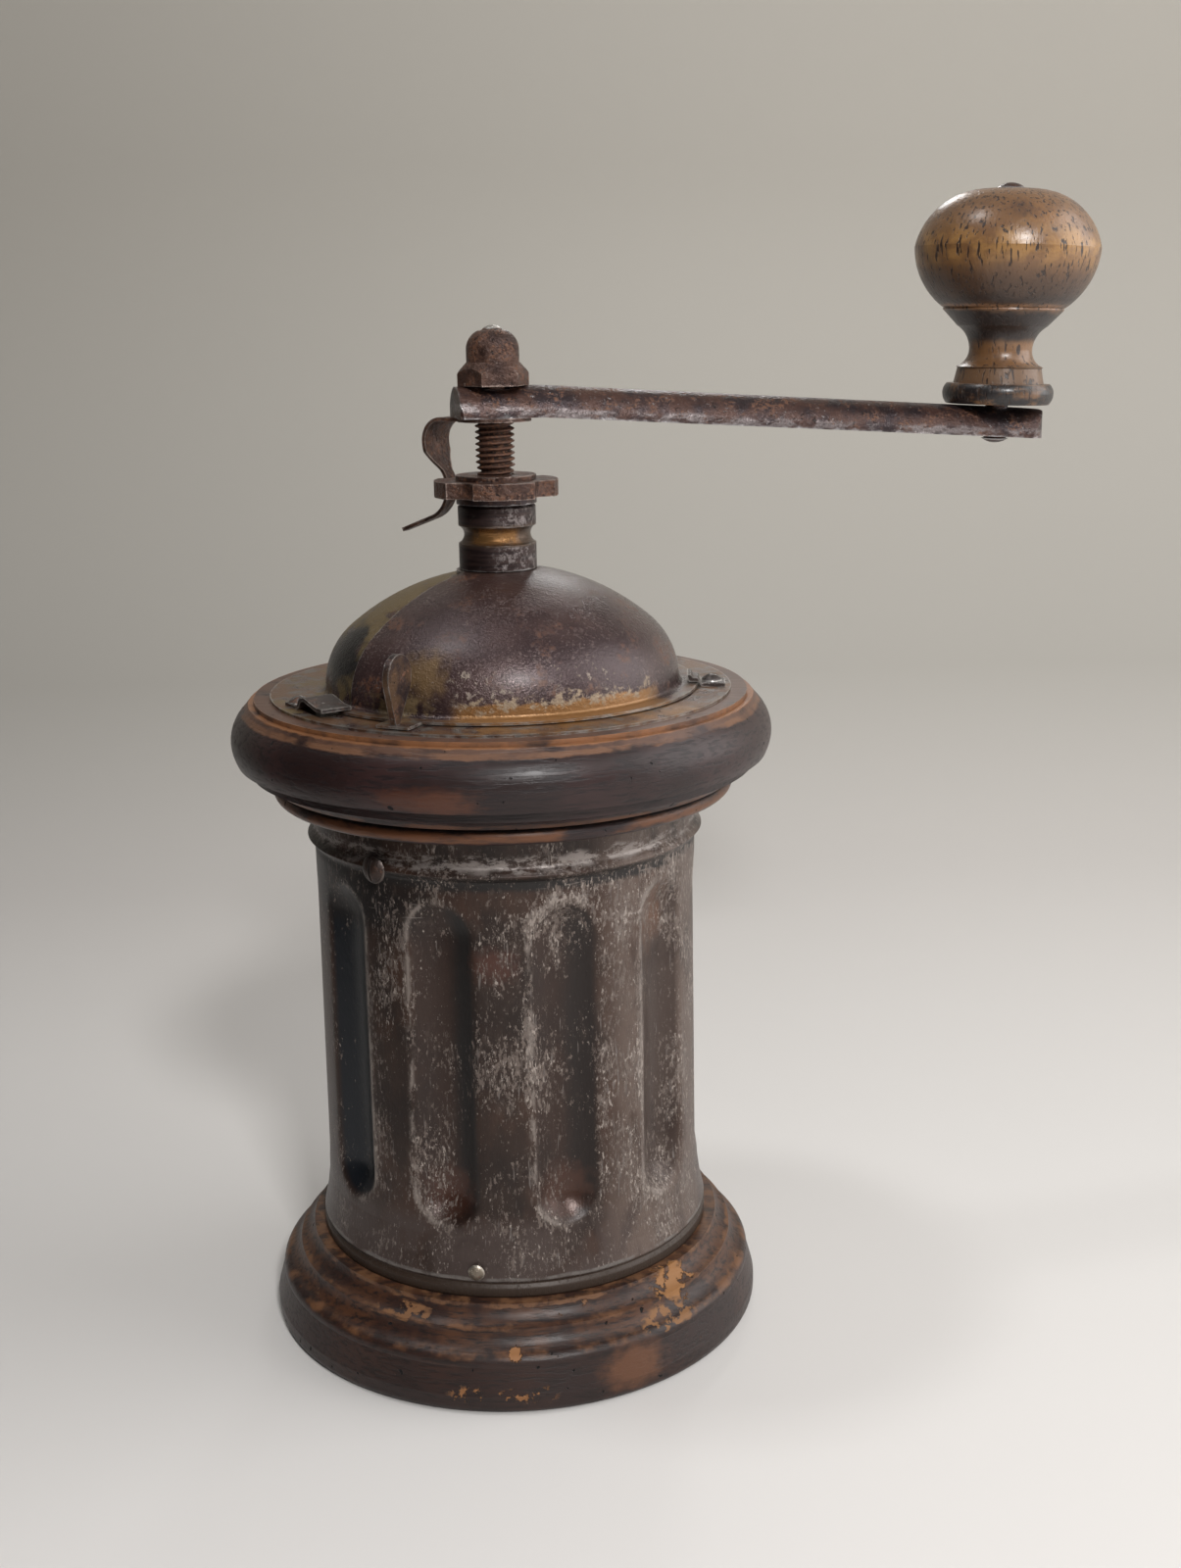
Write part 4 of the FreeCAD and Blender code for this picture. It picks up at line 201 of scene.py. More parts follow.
def patches(tree, place, size, cut, soft=0.05, stretch=(1, 1, 1), detail=4, dust=0.6, seed=0,
            more=None, within=None):
    """Cloudy areas about `size` millimetres across: 1 where the noise passes `cut`.

    `dust` is the share of ever finer grains in it. `more` is added to the noise first, so
    that the areas grow and join where it is high.
    """
    spot = add(tree, "ShaderNodeMapping",
               {"Vector": place["point"], "Location": (seed * 7.3, seed * 3.1, seed * 5.7),
                "Scale": [s / size for s in stretch]})
    noise = add(tree, "ShaderNodeTexNoise",
                {"Vector": spot.outputs[0], "Scale": 1.0, "Detail": detail, "Roughness": dust})
    value = noise.outputs[0] if more is None else total(tree, (noise.outputs[0], 1.0), (more, 1.0))
    edge = add(tree, "ShaderNodeMapRange", {0: value, 1: cut - soft, 2: cut + soft},
               interpolation_type="SMOOTHSTEP")
    return times(tree, edge.outputs[0], within)


def band(tree, place, along, low, high, soft, ragged=0.0, grain=5.0, seed=0, within=None):
    """1 between two values of a coordinate; noise of `grain` moves the edges by `ragged`."""
    value = place[along]
    if ragged:
        spot = add(tree, "ShaderNodeMapping",
                   {"Vector": place["point"], "Location": (seed * 3.7, seed * 9.1, seed * 1.3),
                    "Scale": [1 / grain] * 3})
        noise = add(tree, "ShaderNodeTexNoise", {"Vector": spot.outputs[0], "Scale": 1.0, "Detail": 4.0})
        shift = add(tree, "ShaderNodeMapRange",
                    {0: noise.outputs[0], 1: 0.2, 2: 0.8, 3: -ragged, 4: ragged}, clamp=False)
        value = add(tree, "ShaderNodeMath", {0: value, 1: shift.outputs[0]}).outputs[0]
    rise = add(tree, "ShaderNodeMapRange", {0: value, 1: low - soft, 2: low + soft},
               interpolation_type="SMOOTHSTEP")
    fall = add(tree, "ShaderNodeMapRange", {0: value, 1: high - soft, 2: high + soft, 3: 1.0, 4: 0.0},
               interpolation_type="SMOOTHSTEP")
    return times(tree, times(tree, rise.outputs[0], fall.outputs[0]), within)


def on_ring(angle, radius, height):
    """The point at an angle from the front, a distance from the axis and a height."""
    turn = math.radians(angle)
    return (radius * math.sin(turn), -radius * math.cos(turn), height)


def near(tree, place, centre, reach, soft=0.3, within=None):
    """1 in an oval spot round `centre` with ragged edges; `reach` holds its half widths."""
    moved = add(tree, "ShaderNodeVectorMath", {0: place["point"], 1: centre}, operation="SUBTRACT")
    scaled = add(tree, "ShaderNodeVectorMath", {0: moved.outputs[0], 1: reach}, operation="DIVIDE")
    far = add(tree, "ShaderNodeVectorMath", {0: scaled.outputs[0]}, operation="LENGTH")
    noise = add(tree, "ShaderNodeTexNoise", {"Vector": scaled.outputs[0], "Scale": 2.4, "Detail": 5.0})
    ragged = total(tree, (noise.outputs[0], SPOT_NOISE), (far.outputs["Value"], 1.0))
    edge = add(tree, "ShaderNodeMapRange",
               {0: ragged, 1: SPOT_EDGE - soft, 2: SPOT_EDGE + soft, 3: 1.0, 4: 0.0},
               interpolation_type="SMOOTHSTEP")
    return times(tree, edge.outputs[0], within)


def rims(tree, place, reach, cut, soft, inside=True):
    """Edges that hands have rubbed: rays inside the piece hit a near wall there.

    With `inside` off, the rays go outwards and find the corners and hollows, which the finishes make
    darker.
    """
    rays = add(tree, "ShaderNodeAmbientOcclusion", {"Distance": reach * MM},
               samples=8, inside=inside, only_local=True)
    hidden = add(tree, "ShaderNodeMath", {0: 1.0, 1: rays.outputs["AO"]}, operation="SUBTRACT")
    spot = add(tree, "ShaderNodeMapping", {"Vector": place["point"], "Scale": [1 / RIM_GRAIN] * 3})
    noise = add(tree, "ShaderNodeTexNoise", {"Vector": spot.outputs[0], "Scale": 1.0, "Detail": 3.0})
    uneven = add(tree, "ShaderNodeMapRange",
                 {0: noise.outputs[0], 1: 0.3, 2: 0.7, 3: -RIM_UNEVEN, 4: RIM_UNEVEN})
    both = add(tree, "ShaderNodeMath", {0: hidden.outputs[0], 1: uneven.outputs[0]})
    edge = add(tree, "ShaderNodeMapRange", {0: both.outputs[0], 1: cut - soft, 2: cut + soft},
               interpolation_type="SMOOTHSTEP")
    return edge.outputs[0]


# %% [markdown]
# A finish starts with one colour, roughness and metal share for the bare material. Each
# layer then covers it where its mask says so. The relief list holds masks with a height in
# millimetres, so a rust crust stands proud and a scratch lies below the surface.


# %% Finish from layers
def finish(name, build, coat=0.0, coat_roughness=0.2, mirror=0.5, **given):
    """Make a material: `build` gives its base, layers and relief for a node tree."""
    material = bpy.data.materials.new(name)
    material.use_nodes = True
    tree = material.node_tree
    shader = tree.nodes["Principled BSDF"]
    base, layers, relief = build(tree, **given)
    colour, roughness, metal = linear(base[0]), base[1], base[2]
    for mask, tint, rough, metallic in layers:
        mix = add(tree, "ShaderNodeMix", {0: mask, 6: colour, 7: linear(tint)}, data_type="RGBA")
        colour = mix.outputs[2]
        mix = add(tree, "ShaderNodeMix", {0: mask, 2: roughness, 3: rough}, data_type="FLOAT")
        roughness = mix.outputs[0]
        mix = add(tree, "ShaderNodeMix", {0: mask, 2: metal, 3: metallic}, data_type="FLOAT")
        metal = mix.outputs[0]
    height = total(tree, *relief)
    bump = add(tree, "ShaderNodeBump", {"Height": height, "Distance": MM, "Strength": 1.0})
    for socket, value in (("Base Color", colour), ("Roughness", roughness), ("Metallic", metal),
                          ("Normal", bump.outputs[0])):
        tree.links.new(value, shader.inputs[socket])
    shader.inputs["Specular IOR Level"].default_value = mirror
    shader.inputs["Coat Weight"].default_value = coat
    shader.inputs["Coat Roughness"].default_value = coat_roughness
    return material


def dress(material, *names):
    """Give CAD nodes their finish through their material slots."""
    for name in names:
        for slot in nodes[name].material_slots:
            slot.material = material


# %% [markdown]
# ## Stained wood of the foot and the cornice
# Both rings were turned from a plain hardwood and stained almost black. Hands and time
# rubbed the stain off the edges, where the warm wood shows, and chips broke out. The
# heights of the turned edges are known, so worn lines follow them as ragged bands.


# %% Foot ring
def foot_wood(tree):
    """Stained wood, rubbed at its three turned edges and chipped low at the front."""
    place = place_on(tree)
    clouds = patches(tree, place, 22, 0.52, 0.14, seed=1)
    grain = patches(tree, place, 0.9, 0.55, 0.12, stretch=(0.12, 0.6, 1.2), seed=2)
    steps = band(tree, place, "radius", 0, 51.8, 0.5)
    warm = patches(tree, place, 12, 0.47, 0.1, seed=3, within=steps)
    edge_high = band(tree, place, "height", 19.6, 20.6, 0.2, 0.5, 3, seed=4, within=steps)
    edge_mid = band(tree, place, "height", 16.0, 16.8, 0.25, 0.5, 3, seed=5)
    edge_low = band(tree, place, "height", 11.4, 12.7, 0.4, 0.6, 4, seed=6)
    worn_high = patches(tree, place, 5, 0.5, 0.08, seed=7, within=edge_high)
    worn_mid = patches(tree, place, 6, 0.52, 0.1, seed=8, within=edge_mid)
    worn_low = patches(tree, place, 7, 0.52, 0.12, seed=9, within=edge_low)
    flaked = patches(tree, place, 3.4, 0.49, 0.02, detail=6, seed=10)
    scar = near(tree, place, on_ring(45, 49, 18), (6.5, 6.5, 4.5), 0.2, within=flaked)
    scar_low = near(tree, place, on_ring(38, 52.5, 13), (7, 7, 2.4), 0.2, within=flaked)
    scar_front = near(tree, place, on_ring(-1, 52.4, 12.2), (1.5, 3, 1.3), 0.08)
    scar_left = near(tree, place, on_ring(-30, 49.5, 17.5), (7, 7, 1.6), 0.2, within=flaked)
    chips = band(tree, place, "height", 2.8, 5.6, 0.6, 0.8, 3, seed=12)
    front = band(tree, place, "angle", -15, 7, 2, within=chips)
    chipped = patches(tree, place, 2.6, 0.56, 0.015, detail=7, dust=0.7, seed=13, within=front)
    strewn = patches(tree, place, 3.2, 0.69, 0.02, detail=7, dust=0.7, seed=14)
    bald = near(tree, place, on_ring(26, 55, 6.5), (7, 7, 4.5), 0.5)
    holes = patches(tree, place, 1.5, 0.84, 0.02, detail=0, seed=17)
    # Darker in the corners and hollows that outward rays find close by.
    corners = rims(tree, place, 3.0, 0.5, 0.3, inside=False)
    layers = [
        (clouds, "#342019", 0.4, 0.0),
        (warm, "#4b2f1f", 0.42, 0.0),
        (grain, "#1f1411", 0.46, 0.0),
        (worn_low, "#67452d", 0.46, 0.0),
        (worn_mid, "#67462f", 0.46, 0.0),
        (worn_high, "#684831", 0.46, 0.0),
        (bald, "#5a3a27", 0.42, 0.0),
        (corners, "#1b1311", 0.6, 0.0),
        (scar, "#8a6038", 0.6, 0.0),
        (scar_low, "#7d5735", 0.6, 0.0),
        (scar_front, "#8c603a", 0.6, 0.0),
        (scar_left, "#775336", 0.6, 0.0),
        (chipped, "#855a36", 0.6, 0.0),
        (strewn, "#6f4d33", 0.6, 0.0),
        (holes, "#0e0a09", 0.9, 0.0),
    ]
    relief = [(grain, -0.03), (clouds, 0.05), (scar, -0.3), (scar_front, -0.4), (chipped, -0.35),
              (strewn, -0.2), (holes, -0.6)]
    return ("#281a17", 0.4, 0.0), layers, relief


dress(finish("stained_wood_foot", foot_wood, mirror=0.4), "base_plinth")


# %% Cornice ring
def cornice_wood(tree):
    """The same stain, glossier, worn to warm wood on the upper steps and low lines."""
    place = place_on(tree)
    clouds = patches(tree, place, 26, 0.5, 0.12, seed=21)
    grain = patches(tree, place, 1.1, 0.56, 0.1, stretch=(0.1, 0.5, 1.5), seed=22)
    top = band(tree, place, "height", 140.9, 144, 0.5, 0.6, 5, seed=23)
    brown_top = patches(tree, place, 9, 0.4, 0.14, seed=18, within=top)
    ledge = band(tree, place, "radius", 53.3, 54.7, 0.15, 0.2, 3, seed=19, within=top)
    ledge = patches(tree, place, 8, 0.42, 0.1, stretch=(0.5, 0.5, 1), seed=24, within=ledge)
    rim_top = band(tree, place, "height", 140.3, 141.3, 0.2, 0.3, 4, seed=20)
    rim_top = patches(tree, place, 8, 0.5, 0.08, stretch=(0.5, 0.5, 1), seed=32, within=rim_top)
    line_low = band(tree, place, "height", 122.0, 124.2, 0.3, 0.4, 5, seed=25)
    low_worn = patches(tree, place, 6, 0.47, 0.1, stretch=(0.4, 0.4, 1), seed=26, within=line_low)
    line_mid = band(tree, place, "height", 124.8, 126.0, 0.25, 0.3, 5, seed=27)
    mid_worn = patches(tree, place, 5, 0.5, 0.08, stretch=(0.3, 0.3, 1), seed=28, within=line_mid)
    bald = near(tree, place, on_ring(-13, 57.5, 132.2), (8, 8, 3), 0.5)
    bald_left = near(tree, place, on_ring(-21, 57.5, 132.8), (4.5, 4.5, 2), 0.5)
    holes = patches(tree, place, 1.6, 0.84, 0.02, detail=0, seed=31)
    # Darker in the corners and hollows that outward rays find close by.
    corners = rims(tree, place, 2.5, 0.5, 0.3, inside=False)
    layers = [
        (clouds, "#332120", 0.4, 0.0),
        (grain, "#1d1314", 0.48, 0.0),
        (brown_top, "#573d30", 0.46, 0.0),
        (rim_top, "#6a4a36", 0.46, 0.0),
        (low_worn, "#633e27", 0.45, 0.0),
        (mid_worn, "#5c3a26", 0.45, 0.0),
        (bald, "#4e2c1d", 0.34, 0.0),
        (bald_left, "#46281d", 0.34, 0.0),
        (corners, "#181110", 0.6, 0.0),
        (ledge, "#84593a", 0.45, 0.0),
        (holes, "#0c0808", 0.9, 0.0),
    ]
    relief = [(grain, -0.04), (clouds, 0.06), (holes, -0.6)]
    return ("#241716", 0.38, 0.0), layers, relief


dress(finish("stained_wood_cornice", cornice_wood, coat=0.1, coat_roughness=0.3, mirror=0.35),
      "cornice_ring")

# %% [markdown]
# ## Fluted column
# The column is one tinned sheet, rolled to a tube, folded into a seam at the back and
# pressed with upright flutes. A press draws the sheet in softly, deeper at the lower end.
# So the column is a height field: the distance from the axis is a function of the height
# and the angle, and the flutes, the bead, the flare and a few dents are added up in it.
# All sizes are millimetres, and the angles are degrees from the front.

# %% Column profile
BASE_TOP = 20.5
CORNICE_BOTTOM = 121.5
SHEET = 0.6
SEAM_RISE = 0.6
DENT_DEPTH = 0.18
WINDOW_HALF, WINDOW_RADIUS = 23.0, 42.3
WINDOW_LOW, WINDOW_HIGH = 34.1, 72.5
profile_height = [BASE_TOP, 22.5, 23.35, 24.2, 28.0, 33.0, 111.0, 111.6, 112.3, 113.0, 113.7,
                  114.4, 115.0, CORNICE_BOTTOM]
profile_radius = [44.1, 44.1, 43.5, 44.0, 43.15, 42.5, 41.92, 42.1, 42.85, 43.4, 42.85, 42.1,
                  41.86, 41.8]
FLUTES = 8
FLUTE_PITCH = 35.5
FLUTE_MIDDLE = -2.1
FLUTE_HALF = 7.15
FLUTE_LOW, FLUTE_HIGH = 35.6, 106.6
FLUTE_SOFTNESS = 0.16
flute_height = [35, 44, 75, 100, 107]
flute_depth = [4.0, 3.9, 3.1, 2.6, 2.2]
FRONT_END, SEAM_START = 80, 172
FRONT_STEP, SIDE_STEP, SEAM_STEP = 0.85, 1.8, 0.9
FINE_BELOW, FINE_ABOVE = 44, 98
FINE_ROWS, MIDDLE_ROWS = 52, 37


def smooth(value, start, end):
    """0 before start, 1 after end, and a smooth cubic between them."""
    share = np.clip((value - start) / (end - start), 0, 1)
    return share * share * (3 - 2 * share)


def ridge(value, middle, width):
    """1 at the middle, and a bell curve that falls off over the width."""
    return np.exp(-((value - middle) / width) ** 2)


# %% Column surface
def column_tables():
    """Tables of angle, height and radius, of how deep in a flute a point is, of the rubbed
    edges of the flutes, and of how much tin shows.

    The steps are finer at the front and round the flutes' ends.
    """
    window = math.degrees(math.asin(WINDOW_HALF / WINDOW_RADIUS))
    side = np.concatenate([
        np.arange(FRONT_END, SEAM_START, SIDE_STEP), np.arange(SEAM_START, 180, SEAM_STEP),
        [180 - window]])
    angles = np.unique(np.concatenate([
        np.arange(-FRONT_END, FRONT_END, FRONT_STEP), side, -side, [-180]]))
    heights = np.unique(np.concatenate([
        np.linspace(BASE_TOP, FINE_BELOW, FINE_ROWS), np.linspace(FINE_BELOW, FINE_ABOVE, MIDDLE_ROWS),
        np.linspace(FINE_ABOVE, CORNICE_BOTTOM, FINE_ROWS), profile_height,
        [WINDOW_LOW, WINDOW_HIGH]]))
    angle, height = np.meshgrid(angles, heights)
    radius = np.interp(height, profile_height, profile_radius)
    press, rub, worn = (np.zeros_like(radius) for _ in range(3))
    for number in range(FLUTES):
        middle = FLUTE_MIDDLE + (number - (FLUTES - 1) / 2) * FLUTE_PITCH
        across = np.radians((angle - middle + 180) % 360 - 180) * radius / FLUTE_HALF
        beyond = height - np.clip(height, FLUTE_LOW + FLUTE_HALF, FLUTE_HIGH - FLUTE_HALF)
        reach = np.hypot(across, beyond / FLUTE_HALF)
        inside = 1 - reach ** 2
        press = np.maximum(press, (inside + np.hypot(inside, FLUTE_SOFTNESS)) / 2)
        rubbed_side = smooth(across if middle < -40 else -across, -0.4, 0.7)
        rub = np.maximum(rub, rubbed_side * ridge(reach, 1.05, 0.06))
        worn = np.maximum(worn, (0.2 + 0.8 * rubbed_side) * ridge(reach, 1.06, 0.17))
    worn += 0.5 * smooth(angle, -32, -8) * smooth(height, 95, 102) * (1 - smooth(height, 109, 111))
    # Towards the right the tin specks grow thicker. This is worn tin, and it also lightens the lit right
    # side as painted light.
    worn += 0.5 * smooth(angle, -15, 45)
    radius = radius - np.interp(height, flute_height, flute_depth) * press
    return angle, height, radius, press, rub, worn


angle, height, radius, press, rub, worn = column_tables()
seam = (1 - smooth(np.abs(np.abs(angle) - 180), 3.6, 4.6)) * smooth(height, 75.5, 76) * (
    1 - smooth(height, 110.5, 111.5))
waves = 0.5 * np.sin(np.radians(angle * 5 + 40)) + 0.5 * np.sin(np.radians(angle * 3 - 70))
dents = waves * ridge(height, 116, 6)
radius = radius + SEAM_RISE * seam + DENT_DEPTH * dents
turn = np.radians(angle)
column_points = np.stack([radius * np.sin(turn), -radius * np.cos(turn), height], -1) * MM
cell_x = np.abs(column_points[:-1, :, 0] + np.roll(column_points, -1, 1)[:-1, :, 0]) / 2
cell_y = column_points[:-1, :, 1]
cell_z = (column_points[:-1, :, 2] + column_points[1:, :, 2]) / 2
in_window = (cell_x < WINDOW_HALF * MM) & (cell_y > 0) & (
    cell_z > WINDOW_LOW * MM) & (cell_z < WINDOW_HIGH * MM)
column = grid_piece("fluted_column", column_points, "frame", keep=~in_window,
                    values={"press": press, "rub": rub, "worn": worn})
wall = column.modifiers.new("sheet", "SOLIDIFY")
wall.thickness = SHEET * MM
wall.offset = -1
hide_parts("column_shell")


# %% [markdown]
# The sheet was tinned, then browned with age. Grey tin shows through in fine upright specks, thickest
# round the flutes and on the right, and bare along some edges. Below the flutes it is a smooth brownish
# grey. The values stored with the column's points tell the finish how deep, how rubbed and how worn each
# place is. Shade is painted into the flutes, under the bead and on the upper left. Light is painted on
# the right side, in two lower flute cups and along the bead above the hem.


# %% Column finish
SPECK_TIN = ("#695d56", 0.45, 0.3)
FLECK_TIN = ("#7f746d", 0.45, 0.3)


def tin_specks(tree, place, density, cuts, seeds):
    """Small upright specks of bare tin, and the larger flecks among them."""
    specks = patches(tree, place, 0.75, cuts[0], 0.03, stretch=(1, 1, 0.42), detail=5, dust=0.75,
                     seed=seeds[0], more=density)
    flecks = patches(tree, place, 2.0, cuts[1], 0.025, stretch=(1, 1, 0.5), detail=8, dust=0.85,
                     seed=seeds[1], more=density)
    return specks, flecks


def column_tin(tree):
    """Black-brown oxide over grey tin, with crisp upright specks and rubbed flute edges."""
    place = place_on(tree)
    press_value = add(tree, "ShaderNodeAttribute", attribute_name="press").outputs["Fac"]
    rub_value = add(tree, "ShaderNodeAttribute", attribute_name="rub").outputs["Fac"]
    worn_value = add(tree, "ShaderNodeAttribute", attribute_name="worn").outputs["Fac"]
    clouds = patches(tree, place, 20, 0.5, 0.12, seed=41)
    brown = patches(tree, place, 12, 0.5, 0.1, stretch=(1, 1, 0.6), seed=42)
    red = near(tree, place, on_ring(-4, 42, 94), (4.5, 4.5, 3.6), 0.6)
    orange = near(tree, place, on_ring(48, 41, 100), (5, 5, 8), 0.6)
    low = band(tree, place, "height", 10, 36.5, 2.5, 1.5, 10, seed=44)
    grey_low = patches(tree, place, 9, 0.44, 0.16, stretch=(1, 1, 0.6), seed=45, within=low)
    inside = add(tree, "ShaderNodeMapRange", {0: press_value, 1: 0.04, 2: 0.3}).outputs[0]
    # Painted shade: the hollows of the flutes are darkened.
    deep = total(tree, (inside, 0.7))
    # Painted shade on flute walls: the first flute is dark bluish, and the right halves of the second and
    # third flutes are dark.
    shade_first_flute = band(tree, place, "angle", -66, -46, 3, within=inside)
    shade_second_flute = band(tree, place, "angle", -17, -6, 3, 1.5, 12, seed=46, within=inside)
    shade_third_flute = band(tree, place, "angle", 17, 30, 3, 1.5, 12, seed=47, within=inside)
    # Painted light: the lower cups of the second and third flutes face upwards and are lighter.
    lit_cup_second = near(tree, place, on_ring(-20, 40, 42), (6, 6, 6), 0.5, within=inside)
    lit_cup_third = near(tree, place, on_ring(15, 40, 42), (6, 6, 6), 0.5, within=inside)
    clusters = patches(tree, place, 11, 0.5, 0.2, stretch=(1, 1, 0.6), seed=48)
    # Fewer tin specks grow where shade is painted in the flutes.
    density = total(tree, (clusters, 0.14), (worn_value, 0.065), (shade_first_flute, -0.06),
                    (shade_second_flute, -0.08), (shade_third_flute, -0.09))
    veil = patches(tree, place, 2.0, 0.68, 0.1, stretch=(1, 1, 0.5), detail=7, dust=0.75, seed=37,
                   more=density)
    veil = total(tree, (veil, 0.6))
    specks, flecks = tin_specks(tree, place, density, (0.665, 0.735), (39, 49))
    pricks = patches(tree, place, 0.55, 0.75, 0.03, stretch=(1, 1, 0.4), detail=3, seed=38, more=density)
    streaks = patches(tree, place, 0.7, 0.76, 0.04, stretch=(1, 1, 0.09), detail=3, seed=50, more=density)
    across = patches(tree, place, 0.7, 0.78, 0.04, stretch=(0.12, 0.12, 1.2), detail=3, seed=51,
                     more=density)
    across = band(tree, place, "height", 100, 111, 2.0, within=across)
    edge = patches(tree, place, 2.2, 0.5, 0.08, stretch=(1, 1, 0.4), seed=52, within=rub_value)
    # Painted light: the right side of the column is a lighter brown-grey.
    lit_right_side = band(tree, place, "angle", 30, 75, 7, 3, 8, seed=43)
    lit_right_side = patches(tree, place, 7, 0.42, 0.12, stretch=(1, 1, 0.5), detail=7, seed=36,
                         within=lit_right_side)
    # Painted shade: a dark band in the hollow under the bead.
    groove = band(tree, place, "height", 109.6, 112.6, 0.7, 0.5, 7, seed=53)
    # Painted shade: the upper left of the column, below the bead, is darker.
    shade_left = band(tree, place, "angle", -100, -30, 9, 5, 9, seed=54)
    shade_left = band(tree, place, "height", 99, 112, 3, 2, 8, seed=55, within=shade_left)
    crest = band(tree, place, "height", 114.0, 116.8, 0.6, 0.9, 5, seed=56)
    crest = patches(tree, place, 3.0, 0.5, 0.04, stretch=(0.4, 0.4, 1), detail=8, dust=0.8, seed=57,
                    within=crest)
    # Painted highlight: a light line along the bead above the hem.
    bead_highlight = band(tree, place, "height", 24.1, 24.9, 0.2, 0.3, 5, seed=58)
    bead_highlight = patches(tree, place, 7, 0.5, 0.1, seed=59, within=bead_highlight)
    hem = band(tree, place, "height", 20, 23.8, 0.5, 0.4, 4, seed=60)
    fine = patches(tree, place, 0.6, 0.5, 0.25, stretch=(1, 1, 0.4), seed=40)
    layers = [
        (clouds, "#2b1c14", 0.4, 0.25),
        (brown, "#382318", 0.42, 0.2),
        (grey_low, "#443834", 0.4, 0.35),
        (lit_right_side, "#5a4b43", 0.44, 0.25),
        (deep, "#281913", 0.32, 0.25),
        (shade_first_flute, "#1a1d22", 0.32, 0.4),
        (shade_second_flute, "#1b1716", 0.38, 0.3),
        (shade_third_flute, "#1a0e09", 0.42, 0.1),
        (lit_cup_second, "#422920", 0.32, 0.3),
        (lit_cup_third, "#432c23", 0.3, 0.35),
        (shade_left, "#181312", 0.4, 0.3),
        (red, "#43241a", 0.5, 0.1),
        (orange, "#5c4030", 0.45, 0.2),
        (groove, "#16110f", 0.5, 0.2),
        (streaks, "#6c6460", 0.42, 0.45),
        (across, "#736b67", 0.42, 0.45),
        (veil, "#493d37", 0.42, 0.3),
        (specks, *SPECK_TIN),
        (flecks, *FLECK_TIN),
        (pricks, "#948981", 0.5, 0.2),
        (edge, "#857b74", 0.4, 0.4),
        (crest, "#8b827d", 0.42, 0.4),
        (hem, "#35281f", 0.46, 0.2),
        (bead_highlight, "#6d6763", 0.4, 0.5),
    ]
    relief = [(fine, 0.025), (specks, 0.03), (flecks, 0.03), (streaks, -0.03), (clouds, 0.05)]
    return ("#1f130e", 0.4, 0.3), layers, relief


column.data.materials.append(finish("tinned_sheet_worn", column_tin))


# %% [markdown]
# ## Dome and its cover
# The dome is pressed steel, oxidised to a purple brown with a satin shine. The turning cover
# sits outside it. Rust specks and pale flakes gather near its foot, brass-coloured lacquer
# is left in the fillet, and the fixed dome keeps an olive patina where the cover never
# rubs. All this is placed by angle and height.


